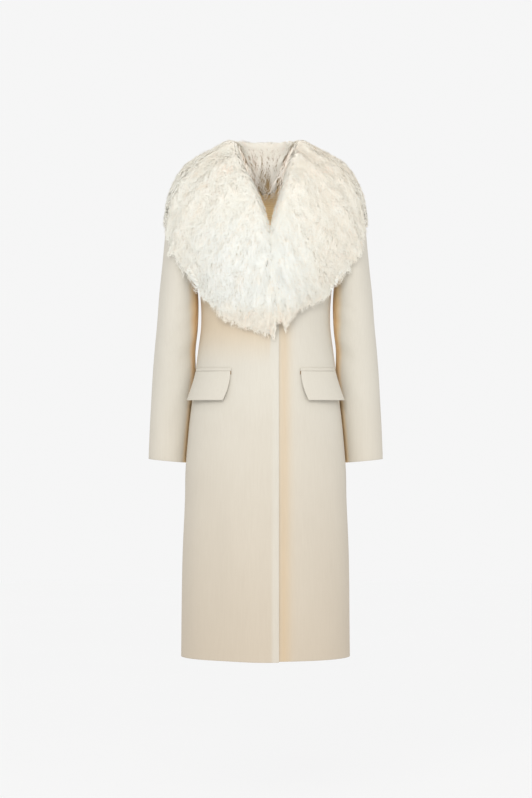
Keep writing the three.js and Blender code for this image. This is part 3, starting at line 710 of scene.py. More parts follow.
def wool_finish(name, colours):
    """Heavy brushed wool: fine upright nap, soft cloudiness and a matt sheen, with painted shade darker
    and warmer towards the hem.
    """
    f = Finish(name)
    height = f.add("ShaderNodeSeparateXYZ", None, {"Vector": f.place()}, "Z")
    shade = f.attribute("shade")
    # Painted shade by height: darker, warmer wool towards the hem.
    base = f.mix_colour(
        f.ranged(height, HEM_SHADE["low"], HEM_SHADE["top"]), with_alpha(colours["low"]),
        with_alpha(colours["top"]),
    )
    # Painted shadow where the shade attribute is above zero, painted highlight where it is below zero.
    base = f.mix_colour(f.ranged(shade, 0.0, 1.0), base, with_alpha(colours["warm"]))
    base = f.mix_colour(f.ranged(shade, -1.0, 0.0, 1.0, 0.0), base, with_alpha(colours["pale"]))
    # Painted golden bounce light where sleeve and body face each other.
    base = f.mix_colour(f.attribute("golden"), base, with_alpha(colours["golden"]))
    cloud = f.noise(7.0, 3.0, f.place())
    nap = f.noise(1.0, 3.0, f.stretched((1500.0, 1500.0, 160.0)), 0.6)
    rib = f.noise(1.0, 2.0, f.stretched((420.0, 420.0, 9.0)), 0.5)
    fleck = f.noise(900.0, 2.0, f.place())
    depth = f.ranged(cloud * 0.4 + rib * 0.4 + fleck * 0.2, 0.36, 0.66, 0.0, 0.13)
    base = f.mix_colour(depth, base, with_alpha(colours["thread"]))
    relief = nap * 0.6 + rib * 0.5 + fleck * 0.35
    bump = f.add("ShaderNodeBump", None, {"Strength": 0.3, "Distance": 0.0006, "Height": relief})
    return f.surface(
        Base_Color=base, Roughness=f.ranged(nap, 0.3, 0.7, 0.8, 0.93), Normal=bump,
        Sheen_Weight=0.06, Sheen_Roughness=0.5, Specular_IOR_Level=0.15,
    )


def lock_finish(name, tones, root, scatter):
    """Fur locks: colour by the lock's tone, with painted shade warmer towards its root, and a painted
    glow for the light scattered inside.
    """
    f = Finish(name)
    stops = [(place, with_alpha(colour)) for place, colour in tones]
    tip = f.add("ShaderNodeValToRGB", {"stops": stops}, {"Fac": f.attribute("tone")}, "Color")
    # Painted shade: darker, warmer colour near the root, where shadow falls deep between locks.
    base = f.mix_colour(f.ranged(f.attribute("along"), 0.0, 0.4), with_alpha(root), tip)
    # Painted glow: emission in the lock's own colour, standing in for light scattered inside the pile.
    return f.surface(
        Base_Color=base, Roughness=0.65, Sheen_Weight=0.1, Sheen_Roughness=0.4, Specular_IOR_Level=0.2,
        Emission_Color=base, Emission_Strength=scatter,
    )


def undercoat_finish(name, pile, root, low=None):
    """The dense short pile under the locks, with painted shade in its darker root colour between the
    tufts, which may turn to a painted shadow colour low down in the neck.
    """
    f = Finish(name)
    tuft = f.noise(1.0, 4.0, f.stretched((210.0, 210.0, 90.0)), 0.65)
    patch = f.noise(26.0, 2.0, f.place())
    share = f.ranged(tuft * 0.7 + patch * 0.3, 0.35, 0.62)
    # Painted shade: the darker root colour shows between the tufts of the pile.
    base = f.mix_colour(share, with_alpha(root), with_alpha(pile))
    if low:
        height = f.add("ShaderNodeSeparateXYZ", None, {"Vector": f.place()}, "Z")
        share = f.ranged(height, NECK_SHADE["low"], NECK_SHADE["top"])
        base = f.mix_colour(share, with_alpha(low), base)
    bump = f.add("ShaderNodeBump", None, {"Strength": 0.5, "Distance": 0.003, "Height": tuft})
    return f.surface(
        Base_Color=base, Roughness=0.8, Normal=bump, Sheen_Weight=0.1, Specular_IOR_Level=0.1
    )


def facing_finish(name, colour, shade_colour, scatter=0.0):
    """Tan facing cloth with a fine rib across, and a painted glow as strong as `scatter`."""
    f = Finish(name)
    waves = {"Vector": f.place(), "Scale": 60.0, "Distortion": 0.6}
    rib = f.add("ShaderNodeTexWave", {"bands_direction": "Z"}, waves, "Fac")
    cloud = f.noise(60.0, 3.0, f.place())
    base = f.mix_colour(rib * 0.6 + cloud * 0.4, with_alpha(shade_colour), with_alpha(colour))
    bump = f.add("ShaderNodeBump", None, {"Strength": 0.5, "Distance": 0.0008, "Height": rib})
    return f.surface(
        Base_Color=base, Roughness=0.8, Normal=bump, Specular_IOR_Level=0.2,
        Emission_Color=base, Emission_Strength=scatter,
    )


def studio_finish(name, colour, glow):
    f = Finish(name)
    cloud = f.noise(1.2, 2.0, f.place())
    tint = f.mix_colour(cloud, with_alpha([c * 0.99 for c in colour]), with_alpha(colour))
    return f.surface(Base_Color=tint, Roughness=0.9, Emission_Color=tint, Emission_Strength=glow)


def finish_of(name, maker, *values):
    return bpy.data.materials.get(name) or maker(name, *values)


def wool(context):
    cloth = context.scene.coat_cloth
    colours = {
        "top": tuple(cloth.top_colour), "low": tuple(cloth.hem_shade_colour), "warm": tuple(cloth.warm_shade_colour),
        "pale": tuple(cloth.painted_highlight_colour), "thread": tuple(cloth.thread_colour),
        "golden": tuple(cloth.painted_bounce_colour),
    }
    return finish_of("brushed_wool", wool_finish, colours)


def fur_tones(context):
    fur = context.scene.coat_fur
    return [
        (0.0, tuple(fur.white_colour)), (0.33, tuple(fur.cream_colour)),
        (0.62, tuple(fur.warm_shade_colour)), (0.95, tuple(fur.inner_colour)),
    ]


def fur_finish(context):
    fur = context.scene.coat_fur
    return finish_of("fur_locks", lock_finish, fur_tones(context), tuple(fur.root_shade_colour), fur.scatter)


# ---- Fur ----
SURFACE_STATIONS = 240
SURFACE_STEPS = 90
SHORTEST_LOCK = 0.42  # share of its length that a lock keeps where it would hang too far past an edge


def collar_surface(is_left):
    """Grid of the fur's outer form: stations from the centre back, steps from neck to free edge."""
    s = np.linspace(0, 1, SURFACE_STATIONS)
    t = np.linspace(0, 1, SURFACE_STEPS)
    stations = {name: spline(COLLAR[name], s) for name in [*PROFILE, "core_top", "core_low"]}
    stops = range(len(COLLAR["rise"]))
    rise = np.interp(s * stops[-1], stops, COLLAR["rise"])
    fill = np.interp(s * stops[-1], stops, VALLEY_FILL)
    stations["neck"][:, 1] = mix(stations["neck"][:, 1], stations["crest"][:, 1], fill)
    points = np.zeros((len(s), len(t), 3))
    for i in range(len(s)):
        profile = np.array([stations[name][i] for name in PROFILE])
        if is_left:
            profile[:, 2] += rise[i] * (np.arange(len(PROFILE)) / (len(PROFILE) - 1)) ** 2
        points[i] = spline(profile, t)
    aim = mix(stations["core_top"][:, None], stations["core_low"][:, None], t[None, :, None])
    away = points - aim
    away /= np.linalg.norm(away, axis=-1, keepdims=True)
    lock = np.cos(s * BIG_LOCKS * 2 * np.pi) * smooth(s * 12) * smooth((1 - s) * 12)
    points += away * (lock[:, None] * LOCK_RELIEF * smooth(t / LOCK_TAPER))[..., None]
    back = (1 - smooth(s / 0.3))[:, None] * np.exp(-(((t - 0.2) / 0.2) ** 2))[None, :]
    points[..., 2] += BACK_CREST_RISE * back
    x = np.maximum(points[..., 0], 0) + SEAM
    near = 1 - smooth((x - SHIFT_NEAR) / (SHIFT_FAR - SHIFT_NEAR))
    shift = meeting_x(points[..., 2]) * near * (points[..., 1] < 0)
    points[..., 0] = (x + shift) if is_left else -(x - shift)
    return points


class FurForm:
    """The outer form of a stretch of fur, which locks are laid along."""

    def __init__(self, points, facing, direction):
        self.points = points
        self.normals = grid_normals(points, facing)
        self.shape = points.shape[:2]
        by_s = np.gradient(points, axis=0) * (self.shape[0] - 1)
        by_t = np.gradient(points, axis=1) * (self.shape[1] - 1)
        stretch_s = (by_s * by_s).sum(-1) + 1e-6
        skew = (by_s * by_t).sum(-1)
        stretch_t = (by_t * by_t).sum(-1) + 1e-6
        scale = np.maximum(stretch_s * stretch_t - skew * skew, 1e-3 * stretch_s * stretch_t)

        def in_grid(aim):
            """A direction in space as steps over the grid."""
            a, b = (by_s * aim).sum(-1), (by_t * aim).sum(-1)
            return np.stack([(stretch_t * a - skew * b) / scale, (stretch_s * b - skew * a) / scale], -1)

        wanted = direction(points, by_t)
        wanted -= self.normals * (wanted * self.normals).sum(-1, keepdims=True)
        wanted /= np.maximum(np.linalg.norm(wanted, axis=-1, keepdims=True), 1e-6)
        self.flow = in_grid(wanted)
        self.sideways_flow = in_grid(np.cross(self.normals, wanted))
        self.wanted = wanted
        self.area = np.linalg.norm(np.cross(by_s, by_t), axis=-1)

    def read(self, grid, place):
        a = np.clip(place[..., 0], 0, 1) * (self.shape[0] - 1)
        b = np.clip(place[..., 1], 0, 1) * (self.shape[1] - 1)
        i = np.minimum(a.astype(int), self.shape[0] - 2)
        j = np.minimum(b.astype(int), self.shape[1] - 2)
        fa, fb = (a - i)[..., None], (b - j)[..., None]
        low = mix(grid[i, j], grid[i + 1, j], fa)
        return mix(low, mix(grid[i, j + 1], grid[i + 1, j + 1], fa), fb)

    def scatter(self, rng, count, keep):
        """Roots spread evenly over the part of the form that `keep` weighs."""
        s = np.linspace(0, 1, self.shape[0])[:, None]
        t = np.linspace(0, 1, self.shape[1])[None, :]
        weight = (self.area * keep(s, t)).ravel()
        picks = np.searchsorted(np.cumsum(weight) / weight.sum(), rng.random(count))
        picks = np.minimum(picks, len(weight) - 1)
        i, j = np.unravel_index(picks, self.shape)
        place = np.stack([i / (self.shape[0] - 1), j / (self.shape[1] - 1)], -1)
        jitter = rng.uniform(-0.5, 0.5, place.shape) / (np.array(self.shape) - 1)
        return np.clip(place + jitter, 0, 1)

    def walk(self, roots, lengths, turns, steps):
        """Places of locks on the form from root to tip, and how far each has gone past its border."""
        place = roots.copy()
        stride = lengths / (steps - 1)
        straight, sideways = np.cos(turns)[:, None], np.sin(turns)[:, None]
        past = np.zeros(len(roots))
        places, passed = [], []
        for _ in range(steps):
            places.append(place)
            passed.append(past)
            aim = self.read(self.flow, place) * straight
            aim = aim + self.read(self.sideways_flow, place) * sideways
            moved = place + aim * stride[:, None]
            outside = (moved < 0).any(-1) | (moved > 1).any(-1)
            past = np.where(outside, past + stride, past)
            place = np.where(outside[:, None], place, moved)
        return np.stack(places, 1), np.stack(passed, 1)

    def lay(self, roots, lengths, turns, limit, steps, depth, lift):
        """Centre lines of locks near the flow, none longer than its limit past the border."""
        places, passed = self.walk(roots, lengths, turns, steps)
        over = passed[:, -1] - limit(places[:, -1])
        lengths = np.maximum(lengths - np.maximum(over, 0), lengths * SHORTEST_LOCK)
        places, passed = self.walk(roots, lengths, turns, steps)
        share = np.linspace(0, 1, steps)[None, :]
        out = self.read(self.normals, places)
        out /= np.linalg.norm(out, axis=-1, keepdims=True)
        height = -depth[:, None] * (1 - share) ** 2 + lift[:, None] * share**1.5
        lines = self.read(self.points, places) + out * height[..., None]
        return lines + self.read(self.wanted, places) * passed[..., None], out, lengths


TONES = 48
SOFTNESS = 3.0  # how much the light on a lock follows the whole fur instead of its own twist
TWIST = 0.35
FULL_CRIMP_LENGTH = 30  # locks shorter than this wave less


def lock_mesh(name, lines, outs, widths, twist, tones, lights, material):
    """Flat tapering locks of fur along their centre lines, in one mesh, shaded towards `lights`."""
    count, steps = lines.shape[:2]
    run = np.gradient(lines, axis=1)
    run /= np.maximum(np.linalg.norm(run, axis=-1, keepdims=True), 1e-9)
    across = np.cross(run, outs)
    across /= np.maximum(np.linalg.norm(across, axis=-1, keepdims=True), 1e-9)
    lifted = np.cross(across, run)
    turn = twist[..., None]
    side = across * np.cos(turn) + lifted * np.sin(turn)
    points = np.stack([lines - side * widths[..., None] / 2, lines + side * widths[..., None] / 2], 2)
    first = np.arange(count)[:, None] * steps * 2 + np.arange(steps - 1)[None, :] * 2
    quads = np.stack([first, first + 1, first + 3, first + 2], -1).reshape(-1, 4)
    share = np.linspace(0, 1, steps)
    along = np.broadcast_to(share[None, :, None], (count, steps, 2))
    level = np.clip((tones * TONES).astype(int), 0, TONES - 1)
    tone = np.broadcast_to(((level + 0.5) / TONES)[:, None, None], (count, steps, 2))
    margin = np.array([0.15, 0.85]) / TONES
    u = level[:, None, None] / TONES + margin[None, None, :]
    uv = np.stack([np.broadcast_to(u, (count, steps, 2)), 0.02 + 0.96 * along], -1).reshape(-1, 2)
    attributes = {"along": along.ravel(), "tone": tone.ravel()}
    piece = make_object(name, points.reshape(-1, 3), quads, material, attributes=attributes, uv=uv)
    own = np.cross(side, run)
    soft = lights * SOFTNESS + own / np.maximum(np.linalg.norm(own, axis=-1, keepdims=True), 1e-9)
    soft /= np.linalg.norm(soft, axis=-1, keepdims=True)
    piece.data.normals_split_custom_set_from_vertices(np.repeat(soft.reshape(-1, 3), 2, axis=0))
    return piece


def crimp(lines, outs, rng, groups, amplitude, wavelength, lengths):
    """Adds the waves of crimped fur to centre lines, in step within a group."""
    count, steps = lines.shape[:2]
    run = np.gradient(lines, axis=1)
    run /= np.maximum(np.linalg.norm(run, axis=-1, keepdims=True), 1e-9)
    across = np.cross(run, outs)
    across /= np.maximum(np.linalg.norm(across, axis=-1, keepdims=True), 1e-9)
    share = np.linspace(0, 1, steps)[None, :]
    group_phase = rng.uniform(0, 2 * np.pi, groups.max() + 1)[groups]
    phase = group_phase[:, None] + rng.normal(0, 0.7, count)[:, None]
    waves = (lengths / wavelength)[:, None] * share * 2 * np.pi
    size = (amplitude[:, None] * (0.3 + 0.7 * share) * smooth(share / 0.15))[..., None]
    hand = rng.choice([-1, 1], groups.max() + 1)[groups][:, None, None]
    wide = across * np.cos(waves + phase)[..., None] * hand
    high = outs * 0.3 * np.sin(waves + phase)[..., None]
    return lines + (wide + high) * size


def taper(share):
    """How wide a lock still is at a share of its length."""
    return np.clip(1.05 - share**2.2, 0.12, 1)


def fur_locks(form, rng, spec, keep, tone_of):
    """Centre lines of a field of locks that gather into tufts towards their tips."""
    count, steps = spec["count"], spec["steps"]
    roots = form.scatter(rng, count, keep)
    tufts = form.scatter(rng, spec["tufts"], keep)
    tree = KDTree(len(tufts))
    for i, point in enumerate(form.read(form.points, tufts)):
        tree.insert(point, i)
    tree.balance()
    groups = np.array([tree.find(p)[1] for p in form.read(form.points, roots)])

    def strands(places, turns, extra, depth):
        size = len(places)
        lengths = spec["length"] * rng.uniform(0.72, 1.12, size)
        lift = rng.normal(spec["lift"], spec["lift_spread"], size)

        def limit(ends):
            return np.where(ends[:, 1] > 0.5, extra - spec["shorter"](ends[:, 0]),
                            spec["inner_limit"](ends[:, 0]))

        return form.lay(places, lengths, turns, limit, steps, depth * spec["shallow"](places), lift)

    tuft_extra = rng.normal(spec["past"], spec["past_spread"], len(tufts))
    tuft_turns = rng.normal(0, spec["turn"], len(tufts))
    guides, _, _ = strands(tufts, tuft_turns, tuft_extra, np.full(len(tufts), spec["depth"] * 0.6))
    extra = tuft_extra[groups] + rng.normal(0, 2, count)
    turns = tuft_turns[groups] + rng.normal(0, spec["turn"] * 0.6, count)
    depth = spec["depth"] * rng.uniform(0.15, 1.2, count)
    lines, outs, lengths = strands(roots, turns, extra, depth)
    share = np.linspace(0, 1, steps)[None, :, None]
    lines = mix(lines, guides[groups], spec["gather"] * share ** spec["gather_power"])
    short = np.clip(lengths / FULL_CRIMP_LENGTH, 0.1, 1)
    amplitude = spec["crimp"] * rng.uniform(0.5, 1.4, count) * short
    wave = spec["wave"] * rng.uniform(0.8, 1.25, count)
    lines = crimp(lines, outs, rng, groups, amplitude, wave, lengths)
    base = rng.uniform(0.7, 1.3, count)[:, None] * spec["width"]
    twist = rng.uniform(-TWIST, TWIST, count)[:, None] * (1 + share[..., 0])
    flecks = np.where(rng.random(len(tufts)) < 0.04, 0.3, 0) + rng.normal(0, 0.05, len(tufts))
    tones = tone_of(form.read(form.points, roots), roots) + flecks[groups] + rng.normal(0, 0.06, count)
    return {"lines": lines, "outs": outs, "widths": base * taper(share[..., 0]), "twist": twist,
            "tones": np.clip(tones, 0, 0.999), "roots": roots}


# Strands that hang into the neck opening: tufts, strands in each, and the ranges of their sizes.
HANGING = {
    "tufts": 22, "each": 3, "steps": 20, "stations": (0.2, 0.5), "places": (0.02, 0.17),
    "length": (36, 92), "inward": (0.05, 0.6), "backward": (-0.1, 0.12), "bow": 4.0,
    "spread": (5.0, 1.2, 2.5), "stray": 0.14, "crimp": (1.8, 3.4), "wave": 16.0,
    "width": (0.7, 1.1), "twist": 0.3, "tone": 0.7,
}


def hanging_locks(form, side, seed):
    """Long wavy tufts that hang from the inner edge of the collar into the neck opening."""
    rng = np.random.default_rng(seed)
    tufts, each, steps = HANGING["tufts"], HANGING["each"], HANGING["steps"]

    def inner_edge(s, t):
        (s_low, s_high), (t_low, t_high) = HANGING["stations"], HANGING["places"]
        return (s > s_low) * (s < s_high) * (t > t_low) * (t < t_high)

    roots = form.scatter(rng, tufts, inner_edge)
    start = form.read(form.points, roots)
    share = np.linspace(0, 1, steps)[None, :, None]
    inward, backward = rng.uniform(*HANGING["inward"], tufts), rng.uniform(*HANGING["backward"], tufts)
    fall = np.stack([-side * inward, backward, -np.ones(tufts)], -1)
    length = rng.uniform(*HANGING["length"], tufts) * mix(1, 0.6, smooth((roots[:, 0] - 0.45) / 0.15))
    guides = start[:, None, :] + fall[:, None, :] * length[:, None, None] * share
    guides -= np.array([0, HANGING["bow"], 0]) * np.sin(np.pi * share)
    groups = np.repeat(np.arange(tufts), each)
    count = tufts * each
    spread = rng.normal(0, 1, (count, 1, 3)) * np.array(HANGING["spread"])
    stray = rng.normal(0, HANGING["stray"], (count, 1, 1)) * length[groups][:, None, None] * share
    lines = guides[groups] + spread * (1 - 0.6 * share) + stray * np.array([-side, 0, 0])
    forward = np.array([0.25 * -side, -1.0, 0.3]) / np.linalg.norm([0.25, -1.0, 0.3])
    outs = np.broadcast_to(forward, lines.shape)
    amplitude = rng.uniform(*HANGING["crimp"], count)
    wave = np.full(count, HANGING["wave"])
    lines = crimp(lines, outs, rng, np.arange(count), amplitude, wave, length[groups])
    widths = rng.uniform(*HANGING["width"], count)[:, None] * taper(share[..., 0])
    tones = rng.uniform(0, HANGING["tone"], tufts)[groups] + rng.normal(0, 0.12, count)
    twist = rng.uniform(-HANGING["twist"], HANGING["twist"], (count, steps))
    return {"lines": lines, "outs": outs, "widths": widths, "twist": twist,
            "tones": np.clip(tones, 0, 0.999)}


def part_of(locks, chosen):
    return {key: value[chosen] for key, value in locks.items()}


def place_locks(name, locks, material):
    lights = locks.get("lights", locks["outs"])
    piece = lock_mesh(
        name, locks["lines"], locks["outs"], locks["widths"], locks["twist"], locks["tones"], lights,
        material,
    )


def lean_outwards(locks):
    """Turns the light on the outer locks away from the neck, as on thick pile that scatters it."""
    lines, roots = locks["lines"], locks["roots"]
    away = lines * np.array([1, 1, 0])
    away /= np.maximum(np.linalg.norm(away, axis=-1, keepdims=True), 1e-6)
    ahead = np.tanh((lines[..., 1] - 10) / 40)
    level = np.stack([np.zeros_like(ahead), 0.7 * ahead, np.full_like(ahead, 0.15)], -1)
    front = smooth((roots[:, 0] - 0.25) / 0.15)
    outer = smooth((roots[:, 1] - 0.22) / 0.1)
    inner = 1 - smooth((roots[:, 1] - 0.1) / 0.12)
    share = (0.6 * np.maximum(front, outer) + 1.4 * front * inner)[:, None, None]
    lights = locks["outs"] + away * share + level * np.maximum(front, outer)[:, None, None]
    return locks | {"lights": lights / np.linalg.norm(lights, axis=-1, keepdims=True)}


def swirl(points, size, seed):
    """A smooth field of sideways directions, so that locks don't all lie alike."""
    rng = np.random.default_rng(seed)
    field = np.zeros_like(points)
    for _ in range(6):
        wave = rng.normal(0, 1 / size, 3)
        field += rng.normal(0, 1, 3) * np.sin(points @ wave + rng.uniform(0, 6))[..., None]
    return field / 2.4


def collar_direction(side):
    """Locks fall from the crest both ways: outwards over the shoulders and inwards at the neck.

    Low down they hang straight where the halves meet, those of the right half a little over the left.
    """
    seed = 60 + side

    def direction(points, by_t):
        shape = points.shape[:2]
        s = np.linspace(0, 1, shape[0])[:, None]
        t = np.linspace(0, 1, shape[1])[None, :]
        down = by_t / np.maximum(np.linalg.norm(by_t, axis=-1, keepdims=True), 1e-6)
        front = smooth((s - 0.42) / 0.2)
        turn = smooth((t - 0.1) / 0.16) * 2 - 1
        at_line = mix(-0.35, 0.12 * side - 0.05, smooth((s - 0.55) / 0.1))
        along = mix(turn, mix(at_line, 0.65, smooth((t - 0.05) / 0.45)), front)
        weight = mix(0.55, 1.0, front) * np.ones_like(t)
        fall = down * along[..., None] + np.array([0, 0, -1.0]) * weight[..., None]
        return fall + 0.22 * swirl(points, 26, seed) + 0.12 * swirl(points, 10, seed + 1)

    return direction


def shallow_crest(roots):
    """How deep locks root: near the surface where they part along the back crest."""
    back = 1 - smooth((roots[:, 0] - 0.3) / 0.15)
    return 1 - 0.8 * back * np.exp(-(((roots[:, 1] - 0.18) / 0.13) ** 2))


def inner_limit(stations):
    """How far locks may hang past the inner edge: long at the back, short along the front opening."""
    return mix(45, 8, smooth((stations - 0.3) / 0.2))


def shorter_ends(stations):
    """How much less far locks hang past the free edge: at the lower front, and over back and sleeves."""
    return 14 * smooth((stations - 0.8) / 0.15) + 6 * smooth((0.45 - stations) / 0.1)


def near_opening(s, t):
    """Where the pile is deeper: along the line where the halves meet and up the neck opening."""
    return (s > 0.3) * (t < 0.27)


def collar_tone(points, roots):
    """Whiter low in the middle, cream over the shoulders, warmer on the left and inside the neck, with
    painted shadow along the line where the halves meet and painted shade at the free edge low down.
    """
    x, z = points[:, 0], points[:, 2]
    low = smooth((-60 - z) / 150) * (1 - smooth((np.abs(x + 25) - 70) / 110))
    tone = 0.33 - 0.28 * low + 0.1 * smooth((x - 10) / 110) + 0.1 * smooth((z + 60) / 90)
    inside = (1 - smooth((roots[:, 1] - 0.05) / 0.1)) * (1 - smooth((roots[:, 0] - 0.55) / 0.15))
    meeting_shadow = (1 - smooth(roots[:, 1] / 0.12)) * smooth((roots[:, 0] - 0.6) / 0.1)
    # Painted shade: darker, warmer fur low down towards the free edge.
    hem = smooth((-295 - z) / 60)
    return tone + 0.4 * inside + 0.3 * meeting_shadow + 0.45 * hem


PILE_VOXEL = 0.0055  # metres
PILE_ROOM = 30.0  # depth taken where the solid has no far side


def undercoat(name, node, shrink, material):
    """The dense pile of a stretch of fur: its solid's form, closed, a little inside and tufted."""
    work = bpy.data.objects.new(name + "_work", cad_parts[node].data.copy())
    bpy.context.scene.collection.objects.link(work)
    remesh = work.modifiers.new("even", "REMESH")
    remesh.mode = "VOXEL"
    remesh.voxel_size = PILE_VOXEL
    graph = bpy.context.evaluated_depsgraph_get()
    mesh = bpy.data.meshes.new_from_object(work.evaluated_get(graph))
    bpy.data.objects.remove(work)
    count = len(mesh.vertices)
    points = np.zeros(count * 3, np.float32)
    mesh.vertices.foreach_get("co", points)
    points = points.reshape(-1, 3) / MM
    normals = np.zeros(count * 3, np.float32)
    mesh.vertices.foreach_get("normal", normals)
    normals = normals.reshape(-1, 3)
    tree = BVHTree.FromPolygons(
        [Vector(p) for p in points], [tuple(f.vertices) for f in mesh.polygons]
    )
    room = np.array([
        (tree.ray_cast(Vector(p - n * 0.5), Vector(-n))[3] or PILE_ROOM)
        for p, n in zip(points, normals)
    ])
    wave = np.array([0.21, 0.17, 0.13])
    tuft = np.sin(points @ wave * 1.3) * np.sin(points @ wave[[1, 2, 0]] * 1.7 + 1)
    tuft = tuft * np.sin(points @ wave[[2, 0, 1]] * 2.3 + 2)
    crest = 1 - 0.7 * smooth((points[:, 2] - 30) / 15)
    points -= normals * np.minimum(shrink * crest * (1 + 0.35 * tuft), 0.3 * room)[:, None]
    mesh.vertices.foreach_set("co", (points * MM).astype(np.float32).ravel())
    mesh.update()
    mesh.polygons.foreach_set("use_smooth", np.ones(len(mesh.polygons), bool))
    mesh.materials.clear()
    mesh.materials.append(material)
    mesh.name = name
    piece = bpy.data.objects.new(name, mesh)
    bpy.context.scene.collection.objects.link(piece)
    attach(piece, "root")
    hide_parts(node)


BEHIND = 0.36  # the station that parts the locks behind from those ahead

# Thread tack at the inner top corner of a pocket flap, on the cloth, dark brown as a painted shadow
# where the welt line ends.
TACK = {"x": (79.6, 81.4), "z": (-491, -483.5), "lift": 1.4}
# Curls: x, height of the root, length of fall and number of turns.
CURLS = [
    (-173, -250, 30, 3.5), (-168, -256, 34, 4.0), (-160, -270, 34, 4.0), (-164, -262, 38, 4.5),
    (-181, -240, 22, 2.5), (150, -282, 26, 3.0), (163, -262, 24, 3.0), (172, -246, 18, 2.0),
]
CURL = {
    "strands": 3, "apart": 0.35, "steps": 64, "y": -92.0, "radius": (3.2, 4.6), "width": 1.5,
    "tone": 0.05,
}
# The fur over the top of the neck, from the collar's crest in to the stand: half width, depth, height.
NECK_CREST = {"half": 80, "narrower": 22, "depth": 62, "shallower": 18, "top": 61, "drop": 15}
# Painted shade inside the neck: the neck locks' root and lower tones turn darker and browner as the
# shade deepens downwards.
NECK_ROOT_SHADE = (0.84, 0.80, 0.72)
NECK_SHADE_TONES = [
    (0.0, (0.84, 0.82, 0.75)), (0.35, (0.84, 0.76, 0.69)), (0.7, (0.78, 0.64, 0.50)),
    (1.0, (0.62, 0.44, 0.29)),
]


# ---- Sizes and colours that a user may change ----
class CoatCloth(bpy.types.PropertyGroup):
    wall: FloatProperty(
        name="Cloth", description="Thickness of the wool cloth", default=0.0022, unit="LENGTH"
    )
    relief: FloatProperty(
        name="Creases", description="Strength of the soft creases", default=1.0, subtype="FACTOR"
    )
    top_colour: FloatVectorProperty(
        name="Wool", description="Colour of the wool at the waist and above",
        default=(0.62, 0.59, 0.52), subtype="COLOR",
    )
    # Painted shade colour: the wool near the hem, darker and warmer as less light reaches it.
    hem_shade_colour: FloatVectorProperty(
        name="Wool at the hem", description="Colour of the wool near the hem",
        default=(0.555, 0.484, 0.39), subtype="COLOR",
    )
    # Painted shadow colour: under the fur's edge and beside the lap.
    warm_shade_colour: FloatVectorProperty(
        name="Warm wool", description="Colour of the wool in folds and beside the lap",
        default=(0.60, 0.41, 0.20), subtype="COLOR",
    )
    # Painted highlight colour: the pressed front edge.
    painted_highlight_colour: FloatVectorProperty(
        name="Pale wool", description="Colour of the wool on pressed edges",
        default=(0.64, 0.62, 0.56), subtype="COLOR",
    )
    # Painted bounce light colour: golden light reflected between sleeve and body.
    painted_bounce_colour: FloatVectorProperty(
        name="Golden wool", description="Colour of the wool where sleeve and body face each other",
        default=(0.88, 0.62, 0.32), subtype="COLOR",
    )
    thread_colour: FloatVectorProperty(
        name="Dark threads", description="Colour of the darker threads in the wool",
        default=(0.36, 0.30, 0.22), subtype="COLOR",
    )
    # Painted shadow colour: the dark tacks stand in for the shadow where the welt line ends.
    tack_shadow_colour: FloatVectorProperty(
        name="Tack thread", description="Colour of the thread tacks at the pockets",
        default=(0.28, 0.17, 0.08), subtype="COLOR",
    )
    # Kept bright, and lit by a painted glow in its finish, to lift the shade inside the neck.
    facing_colour: FloatVectorProperty(
        name="Facing", description="Colour of the neck facing", default=(0.90, 0.64, 0.33),
        subtype="COLOR",
    )


class CoatFur(bpy.types.PropertyGroup):
    locks: IntProperty(name="Locks", description="Long locks on each half of the collar", default=11500)
    wisps: IntProperty(name="Wisps", description="Fine loose hairs on each half", default=3600)
    lock_length: FloatProperty(
        name="Lock length", description="Length of a long lock", default=0.04, unit="LENGTH"
    )
    lock_width: FloatProperty(
        name="Lock width", description="Width of a lock at its root", default=0.0016, unit="LENGTH"
    )
    crimp: FloatProperty(
        name="Crimp", description="Depth of the waves in a lock", default=0.0034, unit="LENGTH"
    )
    wave: FloatProperty(
        name="Wave", description="Length of one wave in a lock", default=0.0118, unit="LENGTH"
    )
    # Painted glow: emission strength of the fur, standing in for light scattered inside the pile.
    scatter: FloatProperty(
        name="Scattered light", description="Light that the pile scatters inside itself", default=0.07,
        subtype="FACTOR",
    )
    white_colour: FloatVectorProperty(
        name="White", description="Whitest fur", default=(0.815, 0.83, 0.80), subtype="COLOR"
    )
    cream_colour: FloatVectorProperty(
        name="Cream", description="Cream fur", default=(0.82, 0.81, 0.745), subtype="COLOR"
    )
    # Warmest fur tone, which also carries painted shade at the lower free edge and painted shadow where
    # the halves meet.
    warm_shade_colour: FloatVectorProperty(
        name="Warm", description="Warmest fur", default=(0.79, 0.73, 0.63), subtype="COLOR"
    )
    inner_colour: FloatVectorProperty(
        name="Inner", description="Fur inside the neck", default=(0.84, 0.71, 0.61), subtype="COLOR"
    )
    # Painted shade colour near the skin, for the shadow deep between locks.
    root_shade_colour: FloatVectorProperty(
        name="Root", description="Fur near the skin", default=(0.85, 0.80, 0.72), subtype="COLOR"
    )


class CoatStudio(bpy.types.PropertyGroup):
    floor_drop: FloatProperty(
        name="Floor", description="Height of the floor below the neck", default=1.52, unit="LENGTH"
    )
    camera_distance: FloatProperty(
        name="Camera", description="Distance of the camera", default=7.0, unit="LENGTH"
    )
    key_power: FloatProperty(
        name="Key light", description="Power of the large soft light", default=92.0, unit="POWER"
    )
    backdrop: FloatProperty(
        name="Backdrop", description="Brightness of the surroundings", default=0.92, subtype="FACTOR"
    )


# ---- Pieces ----
# Lights: name, place, width and height, share of the key light's power, and colour.
LIGHTS = [
    ("key", (-0.5, -4.6, 1.3), (2.4, 1.6), 1.0, (1.0, 0.985, 0.955)),
    ("fill", (2.2, -3.8, 0.2), (1.6, 3.0), 0.2, (1.0, 0.94, 0.88)),
]
LIGHTS_AIM = (0, 0, -0.5)
FLOOR = {"radius": 9, "sides": 96, "grey": 0.15, "glow": 4.8}
CAMERA = {"sensor": 36, "view_height": 1.875, "x": 0.0007, "z": -0.548}


